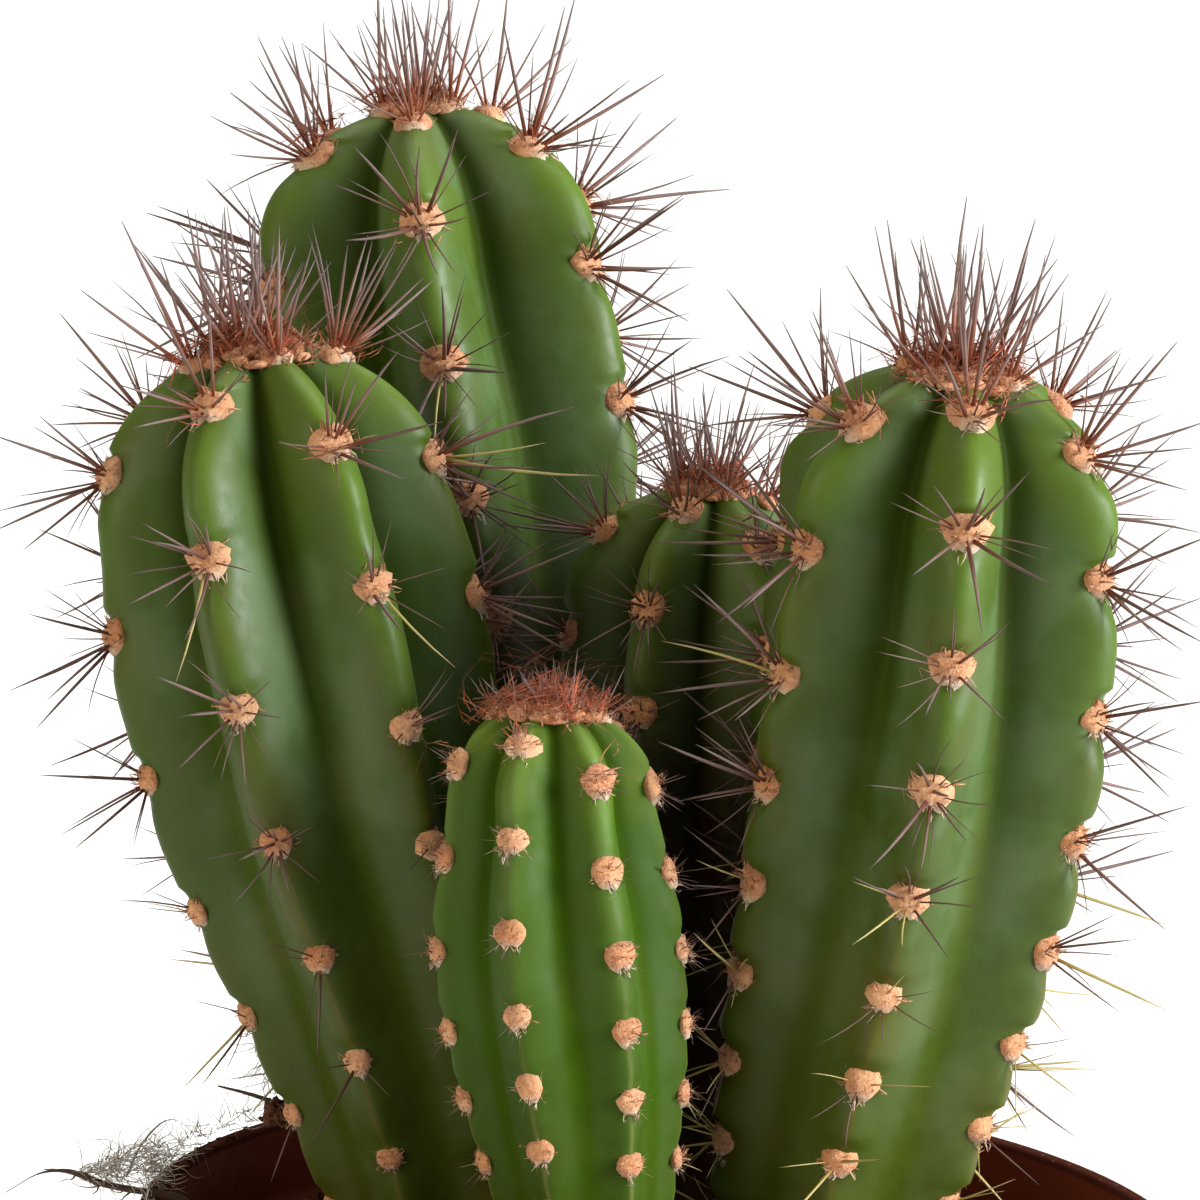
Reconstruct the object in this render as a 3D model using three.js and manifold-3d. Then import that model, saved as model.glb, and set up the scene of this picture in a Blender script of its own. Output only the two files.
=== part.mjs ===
// A potted tall cactus: five ribbed columns standing in peat soil in a brown plastic nursery pot.
// Millimetres, +Z up. The origin is the centre of the pot's flat underside, and -Y is the front.
import * as THREE from "three";
import { mergeVertices } from "three/addons/utils/BufferGeometryUtils.js";
import Module from "manifold-3d";

const wasm = await Module();
wasm.setup();

// Driving dimensions of the pot and its filling.
const POT = {
  height: 91.2,
  rimRadius: 52.5, // outside of the rim's band
  footRadius: 37,
  wall: 1.3,
  floor: 1.6,
  bandHeight: 9,
  bandStep: 1.4, // how far the rim's band stands out from the wall
  edge: 0.6, // rounding of the rim and the foot
  drainHoles: 6,
  drainRadius: 3.2,
  drainCircle: 25,
};
const SOIL = { level: 84, edge: 81, crown: 1.2, relief: 0.8, rings: 6 };
const ROUND_FACETS = 40; // round the pot and the soil
const SEAT_GAP = 0.35; // between pieces that rest against each other

// Each column: its girth runs from the soil to the shoulder as [x, y, z, radius over the rib crests], and tip
// is the top of its crown. facing is the azimuth of rib 0 at the crown in degrees (0 faces the front, and the
// other ribs follow towards the right), and twist is what it gains on the way down to the soil. Down a rib, the
// pads start at first below the tip and are a pitch apart, which eases over ease pads to the least pitch and is
// crowded by up to crowd near the crown. wide is their width at the crown and at the soil, and notch is how far
// a crest dips at a pad. stagger shifts each rib's pads by a share of the pitch. Of the spines, each is the count
// on a pad, and length and tuft are the longest on the pads and on the crown.
const COLUMNS = [
  {
    name: "column_right",
    ribs: 6,
    facing: 6,
    twist: -14,
    girth: [
      [12.2, -12, 84, 9.4],
      [15.2, -12.6, 99.4, 12.8],
      [17.8, -13.2, 114.8, 15.8],
      [20.8, -14.1, 135.2, 18.1],
      [22.3, -14.8, 153.5, 18.6],
      [22.5, -15.4, 168.5, 17.5],
    ],
    tip: [23.2, -16, 183.3],
    pads: { first: 2.5, pitch: 13.7, ease: 5.8, crowd: 3.5, wide: [5.1, 3.5], notch: 1.4 },
    stagger: [0, 0.48, 0.3, 0.85, 0.6, 0.35],
    spines: { each: 3, length: 13, tuft: 11 },
  },
  {
    name: "column_left",
    ribs: 7,
    facing: -23,
    twist: 16,
    girth: [
      [-20.8, -6, 84, 9.4],
      [-24.7, -5.4, 99.2, 11.2],
      [-30, -4.6, 118.2, 14.9],
      [-35.7, -3.7, 136, 17.7],
      [-40, -3, 154, 18.7],
      [-42.2, -2.6, 164, 17.4],
    ],
    tip: [-44.7, -2, 178.8],
    pads: { first: 4, pitch: 16.2, ease: 5.1, crowd: 1.9, wide: [4.9, 2.5], notch: 0.8 },
    stagger: [0, 0.36, 0.68, 0.9, 0.17, 0.3, 0.51],
    spines: { each: 3, length: 14, tuft: 10 },
  },
  {
    name: "column_back",
    ribs: 6,
    facing: 0,
    twist: 15,
    girth: [
      [-11, 25, 84, 9],
      [-16.2, 30.6, 115, 12.6],
      [-22.4, 37, 145.6, 17.6],
      [-25.7, 40.3, 161.5, 20.4],
      [-29, 43.6, 178.5, 19.4],
    ],
    tip: [-31.2, 46.5, 193.7],
    pads: { first: 3.6, pitch: 15.8, ease: 5, crowd: 3.2, wide: [5.3, 3.2], notch: 1.1 },
    stagger: [0.72, 0.17, 0.7, 0.3, 0.87, 0.08],
    spines: { each: 3, length: 14, tuft: 12 },
  },
  {
    name: "column_middle",
    ribs: 6,
    facing: -26,
    twist: 3,
    girth: [
      [2.6, 8, 84, 8.2],
      [1.2, 10.3, 110, 10.6],
      [0, 11.9, 142.7, 14.2],
      [-0.2, 12.3, 151.7, 13.4],
    ],
    tip: [0.2, 12.5, 164],
    pads: { first: 1.6, pitch: 11.6, ease: 4, crowd: 1.9, wide: [4.2, 3], notch: 0.9 },
    stagger: [0, 0.33, 0.9, 0.3, 0.75, 0.46],
    spines: { each: 3, length: 11, tuft: 8 },
  },
  {
    name: "column_front",
    ribs: 7,
    facing: -21,
    twist: 3,
    girth: [
      [-6.2, -27, 84, 6.8],
      [-8.6, -26.5, 102, 8.8],
      [-10.8, -26, 116.7, 11.5],
      [-12.8, -25.6, 129.7, 12.1],
      [-13.9, -25.2, 142.2, 10.2],
    ],
    tip: [-14.3, -25, 150.5],
    pads: { first: 2.7, pitch: 9.7, ease: 5, crowd: 0.7, wide: [3.8, 2.5], notch: 0.5 },
    stagger: [0, 0.39, 0.63, 0.15, 0.6, 0.85, 0.33],
    spines: { each: 1, length: 4.5, tuft: 5 },
  },
];
const RIB_FACETS = 4; // from one crest round to the next
const RIB_DEPTH = { crown: 0.42, base: 0.17 }; // share of the radius between crest and groove
const HALFWAY = { crown: 0.47, base: 0.68 }; // share of that depth which is reached halfway to the groove
const RIBS_FADE = 12; // the ribs flatten out over this height above the soil
const BARE_FOOT = 10; // no pads this close to the soil
const ROOT_DEPTH = 20; // the foot's length under the soil
const HOLE_ABOVE = 7; // the foot's hole is cut this far above the soil's level, past its highest lumps
const LEAST_PITCH = 0.45; // share of a column's pitch that its lowest pads keep
const DEEPEST_NOTCH = 0.08; // share of the radius
const PAD = { reach: 0.5, out: 0.32 }; // as shares of a pad's width
const CROWN_WOOL = { across: 3, up: 1.6 };

// The ways a pad's spines point: the tilt from the pad's way out and the turn round it in degrees, and a
// share of the column's spine length.
const PAD_SPINES = [
  { tilt: 13, turn: 215, share: 1 },
  { tilt: 58, turn: 42, share: 0.64 },
  { tilt: 60, turn: 305, share: 0.6 },
];
const TUFT_SPINES = [
  { tilt: 6, turn: 225, share: 1 },
  { tilt: 20, turn: 110, share: 0.84 },
  { tilt: 22, turn: 310, share: 0.9 },
  { tilt: 30, turn: 20, share: 0.74 },
  { tilt: 34, turn: 200, share: 0.7 },
  { tilt: 44, turn: 260, share: 0.62 },
  { tilt: 46, turn: 65, share: 0.6 },
];
const SPINE = {
  radius: 0.42,
  sunk: 0.8, // the root's depth in its pad
  oldest: 0.6, // length near the soil, as a share of that at the crown
  clearance: 0.8,
  bends: [0, -14, 14, -28, 28, -42], // tried in turn where a spine would meet a neighbour
};

const radians = THREE.MathUtils.degToRad;
const smooth = (share) => THREE.MathUtils.smoothstep(share, 0, 1);
const vector = ([x, y, z]) => new THREE.Vector3(x, y, z);

// The same uneven share of 1 for the same count each time.
function uneven(count) {
  return THREE.MathUtils.euclideanModulo(Math.sin(count * 12.9898 + 4.1) * 43758.5453, 1);
}

// A closed mesh as a manifold-3d solid.
function solid(geometry) {
  const plain = geometry.clone();
  plain.deleteAttribute("normal");
  plain.deleteAttribute("uv");
  const merged = mergeVertices(plain, 1e-4);
  return new wasm.Manifold(
    new wasm.Mesh({
      numProp: 3,
      vertProperties: new Float32Array(merged.attributes.position.array),
      triVerts: new Uint32Array(merged.index.array),
    }),
  );
}

function piece(name, body, material) {
  const { vertProperties, triVerts } = body.getMesh();
  const shared = new THREE.BufferGeometry();
  shared.setAttribute("position", new THREE.BufferAttribute(vertProperties, 3));
  shared.setIndex(new THREE.BufferAttribute(triVerts, 1));
  const geometry = shared.toNonIndexed();
  geometry.computeVertexNormals();
  const mesh = new THREE.Mesh(geometry, material);
  mesh.name = name;
  return mesh;
}

// A closed skin over rings of points, with a point at each end. A point with a seat is the raised top of a
// pad: its diamond's corners lie on the edges from the seat to the four points next to it.
function skin(rings, first, last) {
  const points = [];
  const index = [];
  const numbers = new Map();
  const number = (point) => {
    if (!numbers.has(point)) numbers.set(point, points.push(point) - 1);
    return numbers.get(point);
  };
  const corners = new Map();
  const corner = (pad, other) => {
    const key = `${number(pad)} ${number(other)}`;
    if (!corners.has(key)) {
      const away = other.clone().sub(pad.seat).setLength(pad.reach);
      corners.set(key, away.add(pad.seat));
    }
    return corners.get(key);
  };
  const face = (...three) => index.push(...three.map(number));
  const quad = (...four) => {
    const start = Math.max(0, four.findIndex((point) => point.seat));
    const [a, b, c, d] = four.map((_, i) => four[(start + i) % 4]);
    if (!a.seat) {
      face(a, b, c);
      face(a, c, d);
      return;
    }
    const [near, far] = [corner(a, b), corner(a, d)];
    face(a, near, far);
    face(near, b, c);
    face(near, c, far);
    face(far, c, d);
  };
  const count = rings[0].length;
  const [top, bottom] = [rings[0], rings[rings.length - 1]];
  for (let i = 0; i < count; i += 1) {
    const next = (i + 1) % count;
    face(first, top[i], top[next]);
    face(last, bottom[next], bottom[i]);
    for (let ring = 0; ring + 1 < rings.length; ring += 1) {
      quad(rings[ring][i], rings[ring + 1][i], rings[ring + 1][next], rings[ring][next]);
    }
  }
  const geometry = new THREE.BufferGeometry().setFromPoints(points);
  geometry.setIndex(index);
  return geometry;
}

// Radius over the crests at height z: a smooth curve through the girth, a half ellipse over the shoulder,
// and a foot that tapers under the soil.
function girthRadius({ girth, tip }, z) {
  const last = girth.length - 1;
  const [height, radius] = [(i) => girth[i][2], (i) => girth[i][3]];
  if (z >= height(last)) {
    const rise = (z - height(last)) / (tip[2] - height(last));
    return radius(last) * Math.sqrt(Math.max(0, 1 - rise ** 2));
  }
  if (z <= height(0)) return radius(0) * (1 - 0.3 * ((height(0) - z) / ROOT_DEPTH) ** 2);
  const slope = (i) => {
    if (i === last) return 0;
    const [low, high] = [Math.max(0, i - 1), i + 1];
    return (radius(high) - radius(low)) / (height(high) - height(low));
  };
  const i = girth.findIndex((station) => station[2] > z) - 1;
  const span = height(i + 1) - height(i);
  const t = (z - height(i)) / span;
  return (
    radius(i) * (2 * t ** 3 - 3 * t ** 2 + 1) +
    radius(i + 1) * (3 * t ** 2 - 2 * t ** 3) +
    span * (slope(i) * (t ** 3 - 2 * t ** 2 + t) + slope(i + 1) * (t ** 3 - t ** 2))
  );
}

// The column's line, read by the distance down it from the tip. A frame has the point there, the way up, the
// way out at rib 0 (front), the way to its right (side), and the radius.
function axisOf(column) {
  const curve = new THREE.CatmullRomCurve3([...column.girth, column.tip].map(vector));
  const length = curve.getLength();
  const frameAt = (distance) => {
    const share = THREE.MathUtils.clamp(1 - distance / length, 0, 1);
    const up = curve.getTangentAt(share);
    const point = curve.getPointAt(share);
    if (distance > length) point.addScaledVector(up, length - distance);
    const front = new THREE.Vector3(0, -1, 0).addScaledVector(up, up.y).normalize();
    front.applyAxisAngle(up, radians(column.facing + column.twist * (1 - share)));
    return { point, up, front, side: up.clone().cross(front), radius: girthRadius(column, point.z) };
  };
  return { length, frameAt };
}

// How far below the tip pad n sits. Between pads, and above the first, n isn't whole.
function padDepth({ first, pitch, ease, crowd }, n) {
  if (n < 0) return first * 2 ** (4 * n);
  const eased = LEAST_PITCH * n + (1 - LEAST_PITCH) * ease * (1 - Math.exp(-n / ease));
  return first + pitch * eased - crowd * n * Math.exp(1 - n);
}

// How far down pads row n lies at facet i, where each rib's own stagger runs over into the next rib's.
function rowDepth(column, n, i) {
  const along = i / RIB_FACETS;
  const rib = Math.floor(along);
  const [here, next] = [column.stagger[rib], column.stagger[(rib + 1) % column.ribs]];
  return padDepth(column.pads, n + here + (next - here) * (along - rib));
}

const facetAngle = (column, i) => (2 * Math.PI * i) / (column.ribs * RIB_FACETS);

function sideways(frame, angle) {
  return frame.front.clone().multiplyScalar(Math.cos(angle)).addScaledVector(frame.side, Math.sin(angle));
}

// The skin at facet i: ribs with deep straight sides at the crown and low sharp crests further down, which
// flatten out above the soil.
function skinPoint(column, frame, i, notched) {
  const share = (i % RIB_FACETS) / RIB_FACETS;
  const away = 2 * Math.min(share, 1 - share); // 0 on the crest, 1 in the groove
  const height = frame.point.z - SOIL.level;
  const fade = smooth(height / RIBS_FADE);
  const grown = smooth(height / (column.tip[2] - SOIL.level));
  const depth = THREE.MathUtils.lerp(RIB_DEPTH.base, RIB_DEPTH.crown, grown);
  const halfway = THREE.MathUtils.lerp(HALFWAY.base, HALFWAY.crown, grown);
  const drop = depth * away * (4 * halfway - 1 + (2 - 4 * halfway) * away) * fade;
  const notch = notched ? Math.min(column.pads.notch, frame.radius * DEEPEST_NOTCH) * fade : 0;
  const out = sideways(frame, facetAngle(column, i));
  return frame.point.clone().addScaledVector(out, frame.radius * (1 - drop) - notch);
}

// The pad in a crest's notch: where it sits, the ways across, along and out of it, and its size.
function padAt(column, axis, i, depth) {
  const frame = axis.frameAt(depth);
  const seat = skinPoint(column, frame, i, true);
  const [above, below] = [axis.frameAt(Math.max(0.3, depth - 1.2)), axis.frameAt(depth + 1.2)];
  const along = skinPoint(column, above, i, false).sub(skinPoint(column, below, i, false)).normalize();
  const out = sideways(frame, facetAngle(column, i));
  out.addScaledVector(along, -out.dot(along)).normalize();
  const width = THREE.MathUtils.lerp(...column.pads.wide, depth / axis.length);
  return { seat, out, along, across: along.clone().cross(out), width, depth };
}

// The column's grid of points, with a row through the pads and a row over the bulges between them in turn.
function columnGrid(column, axis) {
  const count = column.ribs * RIB_FACETS;
  const [rows, pads] = [[], []];
  const lowest = Math.max(...column.stagger);
  for (let n = -0.5; padDepth(column.pads, n + lowest) < axis.length - 3; n += 0.5) {
    const padRow = Number.isInteger(n);
    const row = [];
    for (let i = 0; i < count; i += 1) {
      const depth = rowDepth(column, n, i);
      const onPad = padRow && i % RIB_FACETS === 0;
      const point = skinPoint(column, axis.frameAt(depth), i, onPad);
      if (onPad && depth < axis.length - BARE_FOOT) {
        const pad = padAt(column, axis, i, depth);
        point.seat = pad.seat;
        point.reach = PAD.reach * pad.width;
        point.addScaledVector(pad.out, PAD.out * pad.width);
        pads.push(pad);
      }
      row.push(point);
    }
    rows.push(row);
  }
  return { rows, pads };
}

// A plain round section of the foot at a depth under the soil.
function footRing(column, axis, under) {
  const frame = axis.frameAt(axis.length + under);
  return Array.from({ length: column.ribs * RIB_FACETS }, (_, i) =>
    frame.point.clone().addScaledVector(sideways(frame, facetAngle(column, i)), frame.radius),
  );
}

function columnBody(column, axis, rows) {
  const foot = [0, 0.85 * ROOT_DEPTH].map((under) => footRing(column, axis, under));
  return solid(skin([...rows, ...foot], vector(column.tip), axis.frameAt(axis.length + ROOT_DEPTH).point));
}

// The hole that the column's foot stands in, open above the soil. It has half the foot's facets, so its
// corners lie further out than the seat's gap.
function footHole(column, axis) {
  const sides = (column.ribs * RIB_FACETS) / 2;
  const rings = [-HOLE_ABOVE, 0, 0.85 * ROOT_DEPTH].map((under) => {
    const frame = axis.frameAt(axis.length + under);
    const radius = (frame.radius + SEAT_GAP) / Math.cos(Math.PI / sides);
    return Array.from({ length: sides }, (_, i) =>
      frame.point.clone().addScaledVector(sideways(frame, facetAngle(column, 2 * i)), radius),
    );
  });
  const ends = [-HOLE_ABOVE, ROOT_DEPTH + 2 * SEAT_GAP].map((under) => axis.frameAt(axis.length + under).point);
  return solid(skin(rings, ...ends));
}

// A spine as a line from its root, for a pad or the crown's wool.
function spineLine(seat, { tilt, turn }, bend, length) {
  const [lean, round] = [radians(tilt + bend), radians(turn)];
  const spread = seat.along.clone().multiplyScalar(Math.cos(round)).addScaledVector(seat.across, Math.sin(round));
  const way = seat.out.clone().multiplyScalar(Math.cos(lean)).addScaledVector(spread, Math.sin(lean));
  const root = seat.seat.clone().addScaledVector(spread, 0.4 * PAD.reach * seat.width);
  root.addScaledVector(seat.out, 0.55 * PAD.out * seat.width);
  return new THREE.Line3(root.clone().addScaledVector(way, -SPINE.sunk), root.addScaledVector(way, length));
}

function spineSolid(line) {
  const way = line.delta(new THREE.Vector3());
  const length = way.length();
  const turn = new THREE.Quaternion().setFromUnitVectors(new THREE.Vector3(0, 1, 0), way.normalize());
  const cone = new THREE.ConeGeometry(SPINE.radius, length, 3).translate(0, length / 2, 0);
  return solid(cone.applyQuaternion(turn).translate(line.start.x, line.start.y, line.start.z));
}

// Whether a spine keeps clear of the soil, the pot's rim, and the other columns and their spines.
function isClear(line, others, placed) {
  for (let step = 1; step <= 8; step += 1) {
    const point = line.at(step / 8, new THREE.Vector3());
    const atRim = point.z < POT.height + 2 && Math.hypot(point.x, point.y) > POT.rimRadius - 6;
    if (point.z < SOIL.level + 4 || atRim) return false;
    for (const frame of others.flatMap((other) => other.frames)) {
      if (frame.point.distanceTo(point) < frame.radius + SPINE.clearance) return false;
    }
  }
  return placed.every((other) => linesApart(line, other) > SPINE.clearance);
}

function linesApart(a, b) {
  let least = Infinity;
  const [p, q] = [new THREE.Vector3(), new THREE.Vector3()];
  for (let step = 0; step <= 10; step += 1) {
    b.closestPointToPoint(a.at(step / 10, p), true, q);
    least = Math.min(least, p.distanceTo(q));
  }
  return least;
}

// The lines of a column's spines, each bent clear of its neighbours or left out.
function spineLines(column, axis, pads, others, placed) {
  const crown = axis.frameAt(0);
  const [width] = column.pads.wide;
  const wool = { seat: crown.point, out: crown.up, along: crown.front, across: crown.side, width };
  const wanted = TUFT_SPINES.map((aim) => ({ seat: wool, aim, length: column.spines.tuft * aim.share }));
  pads.forEach((pad, count) => {
    const age = THREE.MathUtils.lerp(1, SPINE.oldest, smooth(pad.depth / axis.length));
    PAD_SPINES.slice(0, column.spines.each).forEach(({ tilt, turn, share }, k) => {
      const draw = uneven(count * PAD_SPINES.length + k);
      const mirrored = count % 2 ? -turn : turn;
      const aim = { tilt, turn: mirrored + 26 * (draw - 0.5) };
      wanted.push({ seat: pad, aim, length: column.spines.length * age * share * (0.85 + 0.3 * draw) });
    });
  });
  return wanted.flatMap(({ seat, aim, length }) => {
    const lines = SPINE.bends.map((bend) => spineLine(seat, aim, bend, length));
    return lines.find((line) => isClear(line, others, placed)) ?? [];
  });
}

function crownWool(column) {
  const wool = new THREE.OctahedronGeometry(1).scale(CROWN_WOOL.across, CROWN_WOOL.across, CROWN_WOOL.up);
  return solid(wool.translate(...column.tip));
}

// The nursery pot: a tapered wall with a stepped rim band, a flat floor and drain holes.
function pot() {
  const { height, rimRadius, footRadius, wall, floor, bandHeight, bandStep, edge } = POT;
  const neck = rimRadius - bandStep;
  const shoulder = height - bandHeight;
  const profile = [
    [0, 0],
    [footRadius - edge, 0],
    [footRadius, edge],
    [neck - edge, shoulder],
    [rimRadius - edge / 2, shoulder],
    [rimRadius, height - edge],
    [rimRadius - edge, height],
    [rimRadius - wall - edge, height],
    [rimRadius - wall - edge, shoulder + wall],
    [neck - wall - edge, shoulder - wall],
    [footRadius - wall, floor],
    [0, floor],
  ].map(([r, z]) => new THREE.Vector2(r, z));
  const shell = new THREE.LatheGeometry(profile, ROUND_FACETS).rotateX(Math.PI / 2);
  let body = solid(shell);
  for (let i = 0; i < POT.drainHoles; i += 1) {
    const angle = (2 * Math.PI * i) / POT.drainHoles;
    const hole = new THREE.CylinderGeometry(POT.drainRadius, POT.drainRadius, 4 * floor, 10);
    hole.rotateX(Math.PI / 2);
    hole.translate(POT.drainCircle * Math.cos(angle), POT.drainCircle * Math.sin(angle), 0);
    body = body.subtract(solid(hole));
  }
  return body;
}

// Radius of the soil's side at height z, a seat's gap inside the pot's wall.
function soilReach(z) {
  const [low, high] = [POT.floor, POT.height - POT.bandHeight - POT.wall];
  const [foot, neck] = [POT.footRadius, POT.rimRadius - POT.bandStep - POT.edge].map((r) => r - POT.wall);
  return foot + ((neck - foot) * (z - low)) / (high - low) - SEAT_GAP;
}

// Lumpy peat, a little higher in the middle.
function soilHeight(x, y) {
  const heap = SOIL.crown * (1 - Math.hypot(x, y) / POT.rimRadius);
  const lumps = Math.sin(0.41 * x + 1.3) * Math.sin(0.37 * y + 0.4) + 0.6 * Math.sin(0.83 * x - 0.71 * y);
  return SOIL.level - SOIL.crown + heap + SOIL.relief * lumps;
}

function soil(columns) {
  const circle = (reach, height) =>
    Array.from({ length: ROUND_FACETS }, (_, i) => {
      const angle = (2 * Math.PI * i) / ROUND_FACETS;
      const [x, y] = [reach * Math.cos(angle), reach * Math.sin(angle)];
      return new THREE.Vector3(x, y, height(x, y));
    });
  const rings = [];
  for (let ring = 1; ring < SOIL.rings; ring += 1) {
    rings.push(circle((soilReach(SOIL.edge) * ring) / (SOIL.rings - 0.5), soilHeight));
  }
  rings.push(circle(soilReach(SOIL.edge), () => SOIL.edge));
  const bottom = POT.floor + SEAT_GAP;
  rings.push(circle(soilReach(bottom), () => bottom));
  const top = new THREE.Vector3(0, 0, soilHeight(0, 0));
  let body = solid(skin(rings, top, new THREE.Vector3(0, 0, bottom)));
  for (const { column, axis } of columns) body = body.subtract(footHole(column, axis));
  return body.add(looseRoot());
}

// A dark root that curls up out of the soil and over the left of the rim.
function looseRoot() {
  const route = [
    [-38, 2.6, 78],
    [-44.5, 2.4, 87.5],
    [-48.5, 1.8, 91.7],
    [-52.9, 1, 92.6],
    [-56.1, 1, 93.1],
    [-58.6, 1, 94],
    [-60.3, 1, 94.2],
    [-62.4, 1, 93.7],
    [-65.4, 1, 91.7],
  ].map(vector);
  const section = new THREE.Shape(
    Array.from({ length: 5 }, (_, i) => new THREE.Vector2(0.5, 0).rotateAround(new THREE.Vector2(), radians(72 * i))),
  );
  const path = new THREE.CatmullRomCurve3(route);
  return solid(new THREE.ExtrudeGeometry(section, { extrudePath: path, steps: 12 }));
}

const SKIN = new THREE.MeshStandardMaterial({ color: 0x4f7a35, roughness: 0.45, metalness: 0 });
const PLASTIC = new THREE.MeshStandardMaterial({ color: 0x4a1f14, roughness: 0.5, metalness: 0 });
const PEAT = new THREE.MeshStandardMaterial({ color: 0x2e1a10, roughness: 0.95, metalness: 0 });

const columns = COLUMNS.map((column) => {
  const axis = axisOf(column);
  const frames = Array.from({ length: Math.floor(axis.length / 3) }, (_, i) => axis.frameAt(3 * i));
  return { column, axis, frames };
});
const plant = new THREE.Group();
plant.add(piece("pot", pot(), PLASTIC), piece("soil", soil(columns), PEAT));
const placed = [];
for (const entry of columns) {
  const { column, axis } = entry;
  const { rows, pads } = columnGrid(column, axis);
  const lines = spineLines(column, axis, pads, columns.filter((other) => other !== entry), placed);
  placed.push(...lines);
  const parts = [columnBody(column, axis, rows), crownWool(column), ...lines.map(spineSolid)];
  plant.add(piece(column.name, wasm.Manifold.union(parts), SKIN));
}

export default plant;
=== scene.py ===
"""A potted tall cactus: the looks of its pot, peat and five ribbed columns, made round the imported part.

The plant is worked out in millimetres, from the same driving sizes as the part's source. Each finished
mesh is turned into metres when it becomes a piece.
"""

import random
from dataclasses import dataclass
from math import cos, exp, hypot, pi, radians, sin

import bmesh
import bpy
import numpy as np
from mathutils import Matrix, Vector, noise


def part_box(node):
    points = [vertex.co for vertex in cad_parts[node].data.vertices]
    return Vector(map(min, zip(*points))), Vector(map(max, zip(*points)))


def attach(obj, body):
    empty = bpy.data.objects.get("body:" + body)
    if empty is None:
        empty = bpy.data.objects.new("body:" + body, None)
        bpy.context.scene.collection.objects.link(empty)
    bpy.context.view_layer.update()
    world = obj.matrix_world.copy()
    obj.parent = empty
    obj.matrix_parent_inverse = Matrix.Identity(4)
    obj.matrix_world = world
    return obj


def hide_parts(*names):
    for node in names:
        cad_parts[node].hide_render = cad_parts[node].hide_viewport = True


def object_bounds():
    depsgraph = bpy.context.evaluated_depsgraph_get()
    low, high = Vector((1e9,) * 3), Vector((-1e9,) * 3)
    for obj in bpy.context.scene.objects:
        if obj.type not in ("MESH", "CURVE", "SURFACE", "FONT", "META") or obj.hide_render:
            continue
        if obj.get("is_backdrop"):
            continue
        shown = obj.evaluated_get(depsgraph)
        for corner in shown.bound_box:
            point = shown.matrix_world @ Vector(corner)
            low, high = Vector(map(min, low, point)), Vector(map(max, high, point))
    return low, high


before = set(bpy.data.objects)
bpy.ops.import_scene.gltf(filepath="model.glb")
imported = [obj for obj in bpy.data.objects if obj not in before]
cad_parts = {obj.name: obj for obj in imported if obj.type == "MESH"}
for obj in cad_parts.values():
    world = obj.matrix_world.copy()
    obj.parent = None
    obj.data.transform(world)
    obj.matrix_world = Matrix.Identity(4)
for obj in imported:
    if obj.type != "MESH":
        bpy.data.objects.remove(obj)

CAD_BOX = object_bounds()
MM = 0.001

# ---- Driving sizes, in millimetres and degrees ----

POT_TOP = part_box("pot")[1] / MM
POT_HEIGHT = POT_TOP.z
RIM_RADIUS = POT_TOP.x
FOOT_RADIUS = 37.0
WALL = 1.3
POT_FLOOR = 1.6
BAND_HEIGHT = 9.0
BAND_STEP = 1.4
EDGE = 0.6
DRAIN = {"holes": 6, "radius": 3.2, "circle": 25.0}

SOIL = {"level": 84.0, "edge": 81.0, "crown": 1.2, "relief": 0.8, "crumb": 0.55, "slope": 3.0}
SEAT_GAP = 0.35
ROOT_DEPTH = 20.0
HOLE_ABOVE = 9.0

RIBS_FADE = 12.0
BARE_FOOT = 10.0
LEAST_PITCH = 0.45
YOUNG_CROWDING = 4  # how often the pads that are still to open at the crown halve their depth in a pitch
RIB_DEPTH = {"crown": 0.46, "base": 0.17}
SHARP_VALLEYS = (0.3, 0.75)  # share of a column's height over which smooth valleys turn into sharp ones
CREST_ROUND = {"base": 0.2, "crown": 0.42}
VALLEY_ROUND = 0.3
NOTCH = {"share": 0.08, "old": 0.5, "top": -3.0, "step": 1.2, "ramp": 0.0, "end": 4.6, "across": 2.4}
SWELL = {"height": 0.18, "below": 6.0, "reach": 2.4, "across": 4.2, "full": 14.0}  # "full" is a radius
PAD = {"across": 0.5, "along": 0.5, "out": 0.3}  # half sizes, as shares of a pad's width
SEAT_SPAN = (-1.2, 3.6)  # the stretch of the crest, above and below a pad, that sets the pad's lean
FOOT_TAPER = 0.3
GOLDEN_TURN = 2.4  # radians from one spot to the next, for an even spread over a disc
ROLL = 6.0  # radians that a copy may be turned about its own length


@dataclass
class Column:
    """A ribbed column. Its girth runs from the soil to the shoulder as (x, y, z, radius over the crests)."""

    name: str
    ribs: int
    facing: float  # azimuth of rib 0 at the crown; 0 faces the front, and the other ribs follow to the right
    twist: float  # what the azimuth gains on the way down to the soil
    girth: list
    tip: tuple
    pads: dict  # spacing of the pads down a rib, and their width at the crown and at the soil
    relief: float  # how deep its valleys are, against RIB_DEPTH
    notch: float  # how far a crest dips at a pad near the crown
    stagger: list  # each rib's own shift, as a share of the pitch
    spine: float  # length of the longest spine on a pad
    tuft: float  # length of the longest spine on the crown
    wool: float  # how far the crown's wool reaches from the tip
    sparse: float  # share of its spines that the oldest pads have lost
    straw: float  # share of the old pads' spines that are pale
    cork_and_shade: float  # share of the way down at which the skin turns to brown cork; high on the back and middle columns the cork is also painted shade between the columns
    seed: int


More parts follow.
